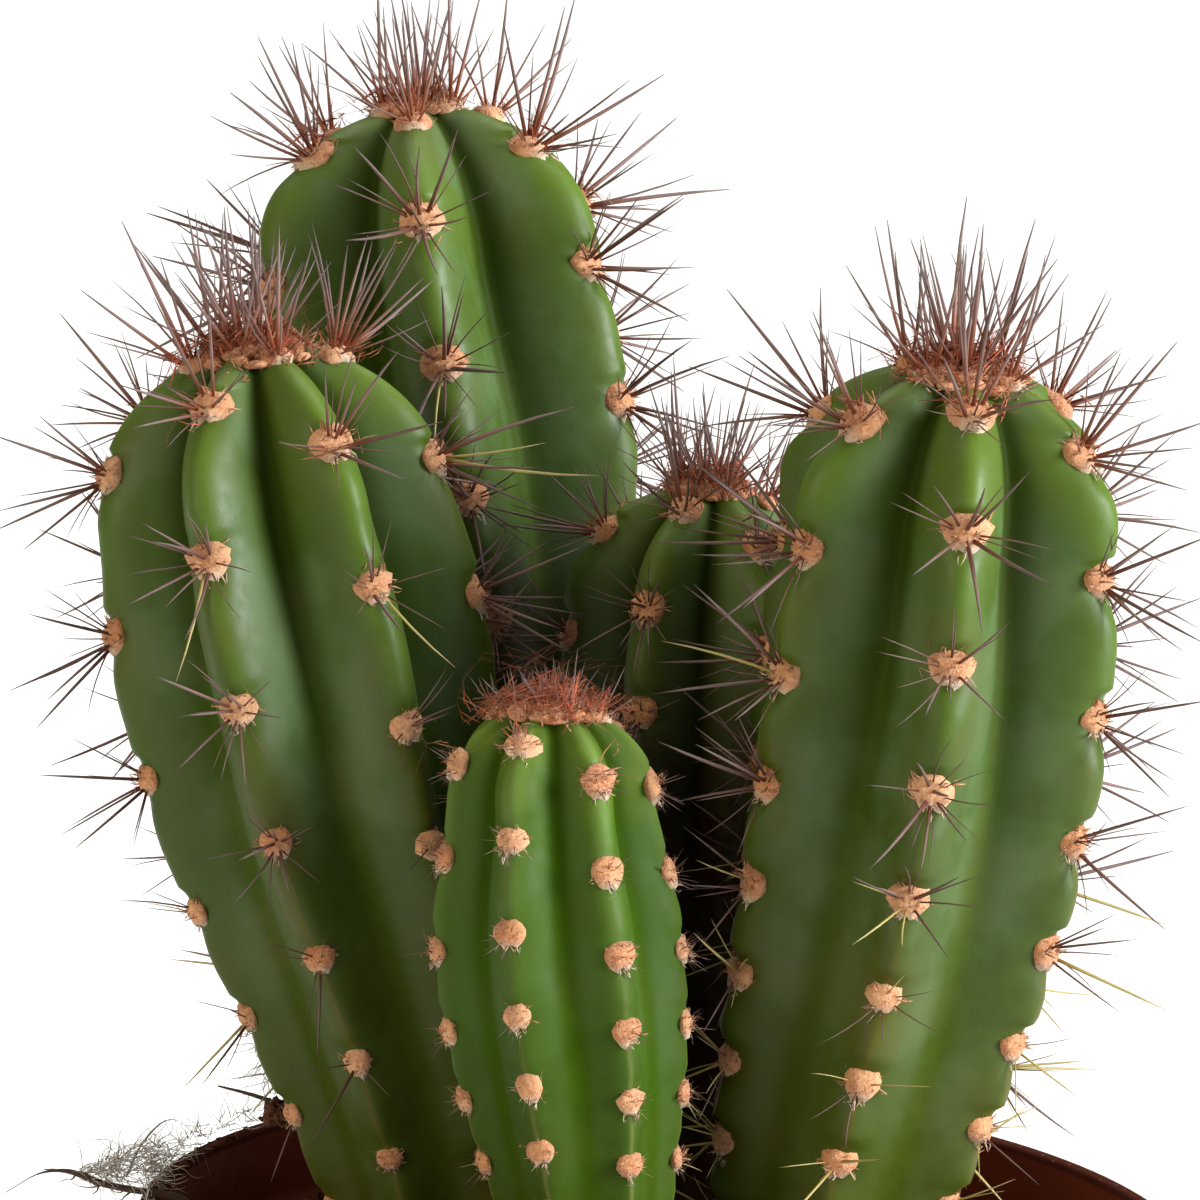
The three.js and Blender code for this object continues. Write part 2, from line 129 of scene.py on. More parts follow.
COLUMNS = [
    Column(
        name="right", ribs=6, facing=6, twist=-14, seed=11,
        girth=[
            (12.2, -12, 84, 9.4), (15.2, -12.6, 99.4, 12.8), (17.8, -13.2, 114.8, 15.8),
            (20.8, -14.1, 135.2, 18.1), (22.3, -14.8, 153.5, 18.6), (22.5, -15.4, 168.5, 17.5),
        ],
        tip=(23.2, -16, 183.3),
        pads={"first": 2.5, "pitch": 13.7, "ease": 5.8, "crowd": 3.5, "wide": (5.1, 3.5)},
        relief=1, notch=1.4, stagger=[0, 0.48, 0.3, 0.85, 0.6, 0.35],
        spine=13.5, tuft=14, wool=5.3, sparse=0.7, straw=0.9, cork_and_shade=1.1,
    ),
    Column(
        name="left", ribs=7, facing=-23, twist=16, seed=12,
        girth=[
            (-20.8, -6, 84, 9.4), (-24.7, -5.4, 99.2, 11.2), (-30, -4.6, 118.2, 14.9),
            (-35.7, -3.7, 136, 17.7), (-40, -3, 154, 18.7), (-42.2, -2.6, 164, 17.4),
        ],
        tip=(-44.7, -2, 178.8),
        pads={"first": 4, "pitch": 16.2, "ease": 5.1, "crowd": 1.9, "wide": (4.9, 2.5)},
        relief=0.9, notch=0.8, stagger=[0, 0.36, 0.68, 0.9, 0.17, 0.3, 0.51],
        spine=13, tuft=14.5, wool=5.4, sparse=0.95, straw=0.3, cork_and_shade=1.1,
    ),
    Column(
        name="back", ribs=6, facing=0, twist=15, seed=13,
        girth=[
            (-11, 25, 84, 9), (-16.2, 30.6, 115, 12.6), (-22.4, 37, 145.6, 17.6),
            (-25.7, 40.3, 161.5, 20.4), (-29, 43.6, 178.5, 19.4),
        ],
        tip=(-31.2, 46.5, 193.7),
        pads={"first": 3.6, "pitch": 15.8, "ease": 5, "crowd": 3.2, "wide": (5.3, 3.2)},
        relief=1, notch=1.1, stagger=[0.72, 0.17, 0.7, 0.3, 0.87, 0.08],
        # Brown cork from about half way down, which also paints the shade behind the front columns.
        spine=14.5, tuft=13, wool=3.8, sparse=0.1, straw=0.2, cork_and_shade=0.5,
    ),
    Column(
        name="middle", ribs=6, facing=-26, twist=3, seed=14,
        girth=[(2.6, 8, 84, 8.2), (1.2, 10.3, 110, 10.6), (0, 11.9, 142.7, 14.2), (-0.2, 12.3, 151.7, 13.4)],
        tip=(0.2, 12.5, 164),
        pads={"first": 1.6, "pitch": 11.6, "ease": 4, "crowd": 1.9, "wide": (4.2, 3)},
        relief=1, notch=0.9, stagger=[0, 0.33, 0.9, 0.3, 0.75, 0.46],
        # Brown cork from a quarter of the way down, which also paints the shade between the other columns.
        spine=11, tuft=11, wool=3.3, sparse=0.3, straw=0.2, cork_and_shade=0.25,
    ),
    Column(
        name="front", ribs=7, facing=-21, twist=3, seed=15,
        girth=[
            (-6.2, -27, 84, 6.8), (-8.6, -26.5, 102, 8.8), (-10.8, -26, 116.7, 11.5),
            (-12.8, -25.6, 129.7, 12.1), (-13.9, -25.2, 142.2, 10.2),
        ],
        tip=(-14.3, -25, 150.5),
        pads={"first": 2.7, "pitch": 9.7, "ease": 5, "crowd": 0.7, "wide": (3.8, 2.5)},
        relief=0.6, notch=0.3, stagger=[0, 0.39, 0.63, 0.15, 0.6, 0.85, 0.33],
        spine=3, tuft=4.5, wool=4.3, sparse=0.85, straw=0.8, cork_and_shade=1.1,
    ),
]

# ---- Small helpers ----


def srgb(code):
    """A colour as the eye names it, such as "4f7a35", in the linear values that a material takes."""
    parts = [int(code[i : i + 2], 16) / 255 for i in (0, 2, 4)]
    return (*(p / 12.92 if p <= 0.04045 else ((p + 0.055) / 1.055) ** 2.4 for p in parts), 1.0)


def smooth(share):
    share = np.clip(share, 0, 1)
    return share * share * (3 - 2 * share)


def rounded(share, radius):
    """A rise from 0 to 1 that starts level, in a curve about this long, and goes on straight."""
    return (np.sqrt(share**2 + radius**2) - radius) / (np.sqrt(1 + radius**2) - radius)


def between(low, high, value):
    """0 below low and 1 above high, with a smooth rise."""
    return smooth((value - low) / (high - low))


def coordinates(mesh):
    points = np.empty(3 * len(mesh.vertices), np.float32)
    mesh.vertices.foreach_get("co", points)
    return points.reshape(-1, 3).astype(float)


def set_coordinates(mesh, points):
    mesh.vertices.foreach_set("co", points.astype(np.float32).ravel())
    mesh.update()


def set_value(mesh, name, values):
    """Keeps a number for each vertex, which the materials read by its name."""
    layer = mesh.attributes.get(name) or mesh.attributes.new(name, "FLOAT", "POINT")
    values = np.broadcast_to(np.asarray(values, np.float32), len(mesh.vertices))
    layer.data.foreach_set("value", np.ascontiguousarray(values))


def as_mesh(name, shape):
    mesh = bpy.data.meshes.new(name)
    shape.to_mesh(mesh)
    shape.free()
    return mesh


def added(name, data):
    """An object with this data, in the scene."""
    made = bpy.data.objects.new(name, data)
    bpy.context.scene.collection.objects.link(made)
    return made


def piece(name, mesh, slot, stands_for=()):
    """A finished piece of the object: in metres, smooth, on the root body and with its slot's finish."""
    mesh.transform(Matrix.Scale(MM, 4))
    mesh.name = name
    mesh.materials.clear()
    mesh.materials.append(FINISHES[slot])
    mesh.polygons.foreach_set("use_smooth", [True] * len(mesh.polygons))
    made = added(name, mesh)
    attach(made, "root")
    if stands_for:
        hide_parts(*stands_for)
    return made


def wrapped_grid(name, around, down):
    """A flat grid, -1 to 1 both ways: x goes round a shape and y down it, for a caller to bend and close."""
    shape = bmesh.new()
    bmesh.ops.create_grid(shape, x_segments=around, y_segments=down, size=1)
    return as_mesh(name, shape)


def closed(mesh, gap):
    """The mesh with its seam and its ends merged, and its faces pointing outwards."""
    shape = bmesh.new()
    shape.from_mesh(mesh)
    bmesh.ops.remove_doubles(shape, verts=shape.verts, dist=gap)
    bmesh.ops.recalc_face_normals(shape, faces=shape.faces)
    shape.to_mesh(mesh)
    shape.free()
    return mesh


def scattered(name, copies):
    """One mesh with a copy of a small shape for each (shape, place, values)."""
    shape = bmesh.new()
    for pattern, place, _ in copies:
        at_rest = coordinates(pattern)
        pattern.transform(place)
        shape.from_mesh(pattern)
        set_coordinates(pattern, at_rest)
    mesh = as_mesh(name, shape)
    counts = [len(pattern.vertices) for pattern, _, _ in copies]
    for key in copies[0][2]:
        set_value(mesh, key, np.repeat([values[key] for _, _, values in copies], counts))
    return mesh


def placed(seat, across, along, out, sizes=(1, 1, 1)):
    """The matrix that puts a shape's x, y and z along three ways, each at its own size."""
    columns = [Vector(way) * size for way, size in zip((across, along, out), sizes)]
    return Matrix.Translation(Vector(seat)) @ Matrix(columns).transposed().to_4x4()


def pointing(root, way, size, roll):
    """The matrix that stands a shape's z along a way, at one size all round."""
    turn = Vector(way).to_track_quat("Z", "Y").to_matrix().to_4x4()
    return Matrix.Translation(Vector(root)) @ turn @ Matrix.Rotation(roll, 4, "Z") @ Matrix.Scale(size, 4)


# ---- The form of a column ----


def smooth_line(points, steps=80):
    """Points along a smooth curve through the given points, which doesn't overshoot where they crowd."""
    points = np.asarray(points, float)
    knots = np.array([2 * points[0] - points[1], *points, 2 * points[-1] - points[-2]])
    t = np.linspace(0, 1, steps, endpoint=False)[:, None]
    line = []
    for a, b, c, d in zip(knots, knots[1:], knots[2:], knots[3:]):
        ab, bc, cd = (np.linalg.norm(q - p) ** 0.5 for p, q in ((a, b), (b, c), (c, d)))
        leaving = ((b - a) / ab - (c - a) / (ab + bc) + (c - b) / bc) * bc
        arriving = ((c - b) / bc - (d - b) / (bc + cd) + (d - c) / cd) * bc
        line.append(cubic(b, c, leaving, arriving, t))
    return np.concatenate([*line, points[-1:]])


def cubic(start, end, leaving, arriving, t):
    """The curve from a start to an end that leaves and arrives along these ways, at a share of its span."""
    return (
        start * (2 * t**3 - 3 * t**2 + 1)
        + end * (3 * t**2 - 2 * t**3)
        + leaving * (t**3 - 2 * t**2 + t)
        + arriving * (t**3 - t**2)
    )


def unit(vectors):
    return vectors / np.linalg.norm(vectors, axis=-1, keepdims=True)


class Form:
    """The shape of one column, read by the depth down from its tip and the turn round it, counted in ribs."""

    def __init__(self, column):
        self.column = column
        self.line = smooth_line([*(station[:3] for station in column.girth), column.tip])
        steps = np.linalg.norm(np.diff(self.line, axis=0), axis=1)
        self.reach = np.concatenate([[0], np.cumsum(steps)])
        self.length = self.reach[-1]
        self.ways = unit(np.gradient(self.line, self.reach, axis=0))
        self.depths = (self.length + ROOT_DEPTH) * np.linspace(0, 1, 400) ** 2
        radii = self.frame(self.depths)[4]
        self.arcs = np.concatenate([[0], np.cumsum(np.hypot(np.diff(self.depths), np.diff(radii)))])
        self.pad_depths = [self.rib_pads(rib) for rib in range(column.ribs)]

    def radius(self, z):
        """Radius over the crests at a height of the column's line."""
        heights, radii = (np.array([station[i] for station in self.column.girth], float) for i in (2, 3))
        slopes = np.zeros(len(heights))
        slopes[1:-1] = (radii[2:] - radii[:-2]) / (heights[2:] - heights[:-2])
        slopes[0] = (radii[1] - radii[0]) / (heights[1] - heights[0])
        i = np.clip(np.searchsorted(heights, z, side="right") - 1, 0, len(heights) - 2)
        span = heights[i + 1] - heights[i]
        t = np.clip((z - heights[i]) / span, 0, 1)
        body = cubic(radii[i], radii[i + 1], span * slopes[i], span * slopes[i + 1], t)
        rise = (z - heights[-1]) / (self.column.tip[2] - heights[-1])
        shoulder = radii[-1] * np.sqrt(np.clip(1 - rise**2, 0, 1))
        foot = radii[0] * (1 - FOOT_TAPER * ((heights[0] - z) / ROOT_DEPTH) ** 2)
        return np.where(z >= heights[-1], shoulder, np.where(z <= heights[0], foot, body))

    def frame(self, depth):
        """Point, way up, way out at rib 0, way to its right, and radius, at depths down the line."""
        depth = np.asarray(depth, float)
        reach = np.clip(self.length - depth, 0, self.length)
        point, up = (
            np.stack([np.interp(reach, self.reach, values[:, axis]) for axis in range(3)], -1)
            for values in (self.line, self.ways)
        )
        up = unit(up)
        point = point - up * np.maximum(depth - self.length, 0)[..., None]
        front = unit(np.array([0.0, -1, 0]) + up * up[..., 1:2])
        turn = np.radians(self.column.facing + self.column.twist * (1 - reach / self.length))[..., None]
        front = front * np.cos(turn) + np.cross(up, front) * np.sin(turn)
        return point, up, front, np.cross(up, front), self.radius(point[..., 2])

    def arc(self, depth):
        """The way along a crest from the tip to a depth."""
        return np.interp(depth, self.depths, self.arcs)

    def pad_depth(self, n):
        """How far below the tip pad n of a rib sits."""
        pads = self.column.pads
        if n < 0:
            return pads["first"] * 2 ** (YOUNG_CROWDING * n)
        eased = LEAST_PITCH * n + (1 - LEAST_PITCH) * pads["ease"] * (1 - exp(-n / pads["ease"]))
        return pads["first"] + pads["pitch"] * eased - pads["crowd"] * n * exp(1 - n)

    def rib_pads(self, rib):
        """The depths of a rib's pads."""
        depths = []
        n = self.column.stagger[rib]
        while self.pad_depth(n) < self.length - BARE_FOOT:
            depths.append(self.pad_depth(n))
            n += 1
        return depths

    def relief(self, depth, turn, radius, fade):
        """How far the skin dips in the notches that the pads sit in, less the swellings between them."""
        ribs = self.column.ribs
        arc = self.arc(depth)
        dip = np.zeros(arc.shape)
        for rib, depths in enumerate(self.pad_depths):
            aside = (turn - rib + ribs / 2) % ribs - ribs / 2
            across = aside * 2 * pi / ribs * radius
            in_notch = np.exp(-((across / NOTCH["across"]) ** 2))
            on_swell = np.exp(-((across / SWELL["across"]) ** 2)) * np.minimum(1, radius / SWELL["full"])
            for seat in depths:
                down = arc - self.arc(seat)
                deepest = self.column.notch * (1 - (1 - NOTCH["old"]) * seat / self.length)
                step = between(NOTCH["top"], NOTCH["top"] + NOTCH["step"], down)
                ramp = 1 - between(NOTCH["ramp"], NOTCH["end"], down)
                dip += np.minimum(deepest, NOTCH["share"] * radius) * in_notch * step * ramp
                past = (down - SWELL["below"]) / SWELL["reach"]
                dip -= SWELL["height"] * self.column.notch * on_swell * np.exp(-(past**2))
        return dip * fade

    def skin(self, depth, turn):
        """Points of the skin: ridges with smooth valleys low down, and with sharp deep ones at the crown."""
        depth, turn = np.broadcast_arrays(np.asarray(depth, float), np.asarray(turn, float))
        point, up, front, side, radius = self.frame(depth)
        share = turn % 1
        away = 2 * np.minimum(share, 1 - share)
        height = point[..., 2] - SOIL["level"]
        fade = smooth(height / RIBS_FADE)
        grown = height / (self.column.tip[2] - SOIL["level"])
        deepest = RIB_DEPTH["base"] + (RIB_DEPTH["crown"] - RIB_DEPTH["base"]) * smooth(grown)
        smooth_ridge = rounded(away, CREST_ROUND["base"])
        smooth_ridge = smooth_ridge * (2 - smooth_ridge)
        sharp_ridge = rounded(1 - rounded(1 - away, VALLEY_ROUND), CREST_ROUND["crown"])
        drop = smooth_ridge + (sharp_ridge - smooth_ridge) * between(*SHARP_VALLEYS, grown)
        ribbed = radius * (1 - self.column.relief * deepest * drop * fade)
        out = ribbed - self.relief(depth, turn, radius, fade)
        angle = (turn * 2 * pi / self.column.ribs)[..., None]
        return point + (front * np.cos(angle) + side * np.sin(angle)) * out[..., None]

    def seat(self, rib, depth):
        """A pad's seat on its crest: the point, and the ways across, along and out, and its width."""
        arcs = self.arc(depth) + np.array([0, *SEAT_SPAN])
        here, above, below = self.skin(np.interp(arcs, self.arcs, self.depths), rib)
        _, _, front, side, _ = self.frame(depth)
        angle = 2 * pi * rib / self.column.ribs
        along = unit(above - below)
        out = front * cos(angle) + side * sin(angle)
        out = unit(out - along * (out @ along))
        age = depth / self.length
        young, old = self.column.pads["wide"]
        return Seat(here, np.cross(along, out), along, out, young + (old - young) * age, age)


@dataclass
class Seat:
    point: np.ndarray
    across: np.ndarray
    along: np.ndarray
    out: np.ndarray
    width: float
    age: float  # 0 at the crown, 1 at the soil


# ---- Materials ----


class Nodes:
    """A node tree, and the nodes that go into it. A colour is a link or a code such as "4f7a35"."""

    def __init__(self, tree):
        self.tree = tree

    def fill(self, sockets, values):
        """Sets or links sockets by name or number."""
        for key, value in values.items():
            if isinstance(value, bpy.types.NodeSocket):
                self.tree.links.new(value, sockets[key])
            else:
                sockets[key].default_value = srgb(value) if isinstance(value, str) else value

    def add(self, kind, inputs=None, **settings):
        """Adds a node, and gives its outputs."""
        made = self.tree.nodes.new("ShaderNode" + kind)
        for key, value in settings.items():
            setattr(made, key, value)
        self.fill(made.inputs, inputs or {})
        return made.outputs

    def mixed(self, share, low, high):
        return self.add("Mix", {0: share, 6: low, 7: high}, data_type="RGBA", blend_type="MIX")[2]

    def maths(self, operation, a, b, clamp=False):
        return self.add("Math", {0: a, 1: b}, operation=operation, use_clamp=clamp)[0]

    def times(self, a, b):
        return self.maths("MULTIPLY", a, b)

    def spread(self, value, low, high, start=0.0, end=1.0):
        """Carries a value from low..high to start..end, clamped, with a smooth rise."""
        inputs = {"Value": value, "From Min": low, "From Max": high, "To Min": start, "To Max": end}
        return self.add("MapRange", inputs, interpolation_type="SMOOTHSTEP")["Result"]

    def clouds(self, place, scale, detail):
        return self.add("TexNoise", {"Vector": place, "Scale": scale, "Detail": detail})["Fac"]


def group(name, results):
    """An empty node group that reads a place and a scale: its nodes, what it is given and its results."""
    tree = bpy.data.node_groups.new(name, "ShaderNodeTree")
    for label, kind in (("Place", "Vector"), ("Scale", "Float")):
        tree.interface.new_socket(label, in_out="INPUT", socket_type="NodeSocket" + kind)
    for label in results:
        tree.interface.new_socket(label, in_out="OUTPUT", socket_type="NodeSocketFloat")
    given = tree.nodes.new("NodeGroupInput").outputs
    return Nodes(tree), given["Place"], given["Scale"], tree.nodes.new("NodeGroupOutput").inputs


def mottle_group():
    """Uneven colour: broad clouds, fine clouds inside them, and scattered specks."""
    nodes, place, scale, result = group("mottle", ("Broad", "Fine", "Specks"))
    broad = nodes.clouds(place, scale, 3.0)
    fine = nodes.clouds(place, nodes.times(scale, 7.0), 4.0)
    cells = {"Vector": place, "Scale": nodes.times(scale, 16.0), "Randomness": 1.0}
    specks = nodes.spread(nodes.add("TexVoronoi", cells)["Distance"], 0.28, 0.1)
    broad, fine = (nodes.spread(cloud, 0.3, 0.7) for cloud in (broad, fine))
    nodes.fill(result, {"Broad": broad, "Fine": fine, "Specks": specks})
    return nodes.tree


def grain_group():
    """A fine uneven surface, as the height of a bump."""
    nodes, place, scale, result = group("grain", ["Height"])
    fine = nodes.times(nodes.clouds(place, nodes.times(scale, 4.3), 2.0), 0.4)
    nodes.fill(result, {"Height": nodes.maths("ADD", nodes.clouds(place, scale, 2.0), fine)})
    return nodes.tree


MOTTLE = mottle_group()
GRAIN = grain_group()


class Finish(Nodes):
    """A material under work: its shader, the place and the mottle that it reads, and its colour so far."""

    def __init__(self, name, mottle_scale, shader_values):
        self.made = bpy.data.materials.new(name)
        self.made.use_nodes = True
        super().__init__(self.made.node_tree)
        self.shader = self.tree.nodes["Principled BSDF"].inputs
        self.fill(self.shader, shader_values)
        self.place = self.add("TexCoord")["Object"]
        self.mottle = self.use(MOTTLE, mottle_scale)
        self.colour = None

    def use(self, node_group, scale):
        return self.add("Group", {"Place": self.place, "Scale": scale}, node_tree=node_group)

    def kept(self, name):
        """A number that the mesh keeps for each vertex."""
        return self.add("Attribute", attribute_name=name, attribute_type="GEOMETRY")["Fac"]

    def ramp(self, value, stops):
        made = self.tree.nodes.new("ShaderNodeValToRGB")
        self.fill(made.inputs, {"Fac": value})
        elements = made.color_ramp.elements
        while len(elements) < len(stops):
            elements.new(0.5)
        for element, (place, code) in zip(elements, stops.items()):
            element.position = place
            element.color = srgb(code)
        return made.outputs["Color"]

    def tint(self, share, colour, strength=1.0):
        """Mixes a colour in, where the share says and at this strength."""
        self.colour = self.mixed(self.times(share, strength), self.colour, colour)

    def done(self, grain=None):
        """The material, with its colour and with a grain of this scale, strength and depth in metres."""
        self.fill(self.shader, {"Base Color": self.colour})
        if grain:
            scale, strength, depth = grain
            bump = {"Height": self.use(GRAIN, scale)["Height"], "Strength": strength, "Distance": depth}
            self.fill(self.shader, {"Normal": self.add("Bump", bump)["Normal"]})
        return self.made


def skin_finish(name, tones):
    """Waxy green skin: bright at the crown, duller with age, with wax bloom and a painted sheen on the
    flanks, painted shade in the valleys, a painted highlight on the crests, and brown cork that also paints
    shade.
    """
    look = Finish(name, 90.0, {"Coat Roughness": 0.45})
    age, groove, cork_and_shade = (look.kept(value) for value in ("age", "groove", "cork_and_shade"))
    broad, fine = look.mottle["Broad"], look.mottle["Fine"]
    uneven = look.maths("ADD", age, look.spread(broad, 0, 1, -0.04, 0.04), clamp=True)
    look.colour = look.ramp(uneven, tones["ages"])
    look.tint(fine, tones["cloud"], 0.25)
    look.tint(look.spread(broad, 0.45, 1, 0, 0.35), tones["olive"])
    # Pale wax bloom with a painted sheen: the flanks near the valleys turn pale and bluish, most near the
    # crown.
    on_flank = look.times(look.spread(groove, 0.15, 0.5), look.spread(groove, 1, 0.6, 0.4, 1))
    bloom_and_sheen_mask = look.times(on_flank, look.spread(broad, 0.1, 0.9, 0.05, 0.4))
    look.tint(bloom_and_sheen_mask, tones["bloom_and_sheen"], look.spread(age, 0.35, 0.8, 1, 0.3))
    young = look.spread(age, 0.5, 0.05, 0.12, 1)
    # Painted shade: the valleys are darker towards the crown.
    look.tint(look.spread(groove, 0.55, 0.95, 0, 0.8), tones["deep"], young)
    # Painted highlight: the crests are lighter near the crown.
    look.tint(look.spread(groove, 0.4, 0.0, 0, 0.35), tones["crest"], young)
    look.tint(look.spread(groove, 0.09, 0.0), tones["worn"], look.spread(age, 0.25, 0.7, 0, 0.5))
    # Brown cork low down, which on the back and middle columns also paints the shade between the columns.
    look.tint(cork_and_shade, tones["cork_and_shade"], look.spread(fine, 0, 1, 0.8, 1))
    duller = look.times(look.spread(groove, 0.6, 0.9, 1, 0.1), look.spread(age, 0.4, 0.9, 1, 0.5))
    shine, coat = (look.times(duller, tones[level]) for level in ("shine", "coat"))
    rough = look.spread(fine, 0, 1, tones["rough"], tones["rough"] + 0.12)
    rough = look.maths("ADD", rough, look.times(cork_and_shade, 0.4))
    look.fill(look.shader, {"Specular IOR Level": shine, "Coat Weight": coat, "Roughness": rough})
    return look.done((700.0, 0.2, 0.00015))


def felt_finish():
    """Peach felt, browner in its folds, whiter at a pad's lower end and rusty where it is fresh."""
    look = Finish("pad_felt", 500.0, {"Roughness": 0.95, "Sheen Weight": 0.1, "Sheen Roughness": 0.5})
    look.colour = look.ramp(look.kept("tone"), {0: "984f2a", 0.45: "c28052", 1: "d8a47c"})
    look.tint(look.mottle["Broad"], "8e4a2a", 0.6)
    look.tint(look.mottle["Fine"], "dcb48e", 0.4)
    look.tint(look.kept("pale"), "ccc2b0", 0.8)
    look.tint(look.kept("fresh"), "b44a22", 0.9)
    return look.done((2000.0, 0.7, 0.0003))


def spine_finish():
    """Horny spines: red-brown roots, grey-brown shafts and darker tips; some are the colour of straw."""
    look = Finish("spines", 500.0, {"Specular IOR Level": 0.2})
    along, tone = look.kept("along"), look.kept("tone")
    old = look.ramp(along, {0: "743c28", 0.2: "6a4c44", 0.5: "7a605c", 0.85: "6a5a56", 1: "42342f"})
    young = look.ramp(along, {0: "b4562c", 0.2: "965a44", 0.5: "8c706a", 0.85: "80706e", 1: "544848"})
    straw = look.ramp(along, {0: "9d7c3c", 0.2: "a08c50", 0.5: "ab9b66", 0.85: "a39363", 1: "86704a"})
    look.colour = look.mixed(look.kept("fresh"), old, young)
    look.tint(look.spread(tone, 0.55, 0.75), straw)
    look.tint(look.spread(tone, 0.5, 0.0, 0, 0.45), "3a2622")
    look.fill(look.shader, {"Roughness": look.spread(look.mottle["Fine"], 0, 1, 0.4, 0.6)})
    return look.done()


def peat_finish():
    """Dark peat, with paler crumbs and specks."""
    look = Finish("peat", 260.0, {"Roughness": 0.95, "Specular IOR Level": 0.25})
    look.colour = look.ramp(look.kept("tone"), {0: "3d2114", 0.6: "6a402a", 1: "8d6242"})
    look.tint(look.mottle["Fine"], "22100a", 0.5)
    look.tint(look.mottle["Specks"], "7a5334", 0.3)
    return look.done((1400.0, 0.9, 0.0005))


def plastic_finish():
    """Brown moulded plastic, with a little pale dust low on the wall and peat stains on the rim."""
    look = Finish("pot_plastic", 60.0, {})
    fine = look.mottle["Fine"]
    height = look.add("SeparateXYZ", {"Vector": look.place})["Z"]
    look.colour = look.mixed(look.times(look.mottle["Broad"], 0.4), "8a3a1e", "984628")
    soiled = look.spread(height, (POT_HEIGHT - 1.0) * MM, (POT_HEIGHT - 0.1) * MM, 0, 0.9)
    look.tint(soiled, "2c120a")
    dust = look.times(look.spread(height, 0.03, 0.0), look.spread(fine, 0.3, 1))
    look.tint(dust, "9b8574", 0.35)
    look.tint(look.mottle["Specks"], "a08a78", 0.12)
    rough = look.maths("ADD", look.spread(fine, 0, 1, 0.4, 0.55), look.times(soiled, 0.4))
    shine = look.spread(soiled, 0, 0.9, 0.3, 0.05)
    look.fill(look.shader, {"Roughness": rough, "Specular IOR Level": shine})
    return look.done((1100.0, 0.2, 0.0001))


def root_finish():
    """Dark dry roots and pale fibres."""
    look = Finish("root_fibre", 400.0, {"Roughness": 0.85})
    look.colour = look.ramp(look.kept("tone"), {0: "33201a", 0.5: "6e5344", 1: "d6d2ca"})
    look.tint(look.mottle["Fine"], "4d3a30", 0.4)
    return look.done()


# Tones: the valley tone is painted shade, the crest tone a painted highlight, the bloom tone wax bloom with a
# painted sheen, and the bark tone cork that also paints shade.
SKIN_TONES = {
    "coat": 0.06, "shine": 0.25, "rough": 0.42,
    "ages": {0: "4e6114", 0.14: "3c5010", 0.45: "38470f", 0.8: "3b430e", 1: "3c3a0d"},
    "cloud": "42591a", "olive": "4f460e", "bloom_and_sheen": "5f7a54", "deep": "1a2402",
    "crest": "5d7a24", "worn": "5c5322", "cork_and_shade": "28130c",
}
# The front column's young skin: less glossy, with its greens darkened in part as painted shade from the right
# column.
YOUNG_SHADED_TONES = {
    "coat": 0.0, "shine": 0.12, "rough": 0.5,
    "ages": {0: "586b16", 0.15: "385108", 0.5: "304508", 0.85: "32410a", 1: "333a0b"},
    "cloud": "3a560f", "olive": "3e420a", "bloom_and_sheen": "42602a", "deep": "203502",
    "crest": "789452", "worn": "73743a", "cork_and_shade": "28130c",
}
FINISHES = {
    "cactus_skin": skin_finish("cactus_skin", SKIN_TONES),
    "young_skin": skin_finish("young_skin", YOUNG_SHADED_TONES),
    "pad_felt": felt_finish(),
    "spines": spine_finish(),
    "peat": peat_finish(),
    "pot_plastic": plastic_finish(),
    "root_fibre": root_finish(),
}

# ---- Columns: skin, pads, felt and spines ----

SKIN_GRID = {"per_rib": 26, "rows": 200, "crown": 1.5}  # rows crowd towards the crown by this power
CORK_AND_SHADE_EDGE = 0.2  # the share of a column, each way, over which its skin turns to cork and painted shade


def column_skin(form):
    """The skin from the tip down to the end of the foot, closed at both ends."""
    column = form.column
    mesh = wrapped_grid("skin", SKIN_GRID["per_rib"] * column.ribs, SKIN_GRID["rows"])
    flat = coordinates(mesh)
    share = (flat[:, 1] + 1) / 2
    turn = (flat[:, 0] + 1) / 2 * column.ribs
    depth = (form.length + ROOT_DEPTH) * share ** SKIN_GRID["crown"]
    points = form.skin(depth, turn)
    ends = [np.array(column.tip), form.frame(form.length + ROOT_DEPTH)[0]]
    points[share < 1e-6] = ends[0]
    points[share > 1 - 1e-6] = ends[1]
    set_coordinates(mesh, points)
    age = depth / form.length
    rest = turn % 1
    set_value(mesh, "age", age)
    # Cork, which on the back and middle columns also stands for painted shade.
    set_value(mesh, "cork_and_shade", between(column.cork_and_shade - CORK_AND_SHADE_EDGE, column.cork_and_shade + CORK_AND_SHADE_EDGE, age))
    set_value(mesh, "groove", 2 * np.minimum(rest, 1 - rest))
    return closed(mesh, 0.002)


def dome_shapes(count, seed):
    """Lumpy felt pads, 1 in radius: wide and round above, narrower and often cleft below."""
    draw = random.Random(seed)
    shapes = []
    for _ in range(count):
        shape = bmesh.new()
        bmesh.ops.create_uvsphere(shape, u_segments=16, v_segments=7, radius=1)
        away = Vector([draw.uniform(-50, 50) for _ in range(3)])
        fork, cleft = draw.uniform(-0.3, 0.3), draw.uniform(0.2, 0.6)
        for vertex in shape.verts:
            x, y, z = vertex.co
            lump = 1 + 0.24 * noise.noise(vertex.co * 1.6 + away)
            width = 0.55 + 0.45 * float(between(-0.9, 0.3, y))
            lower = cleft * exp(-(((x - fork) / 0.3) ** 2)) * float(between(-0.5, -1.0, y))
            vertex.co = Vector((x * width, y + lower, z if z > 0 else 0.5 * z)) * lump
        mesh = as_mesh("dome", shape)
        set_value(mesh, "pale", between(-0.2, -0.95, coordinates(mesh)[:, 1]))
        shapes.append(mesh)
    return shapes


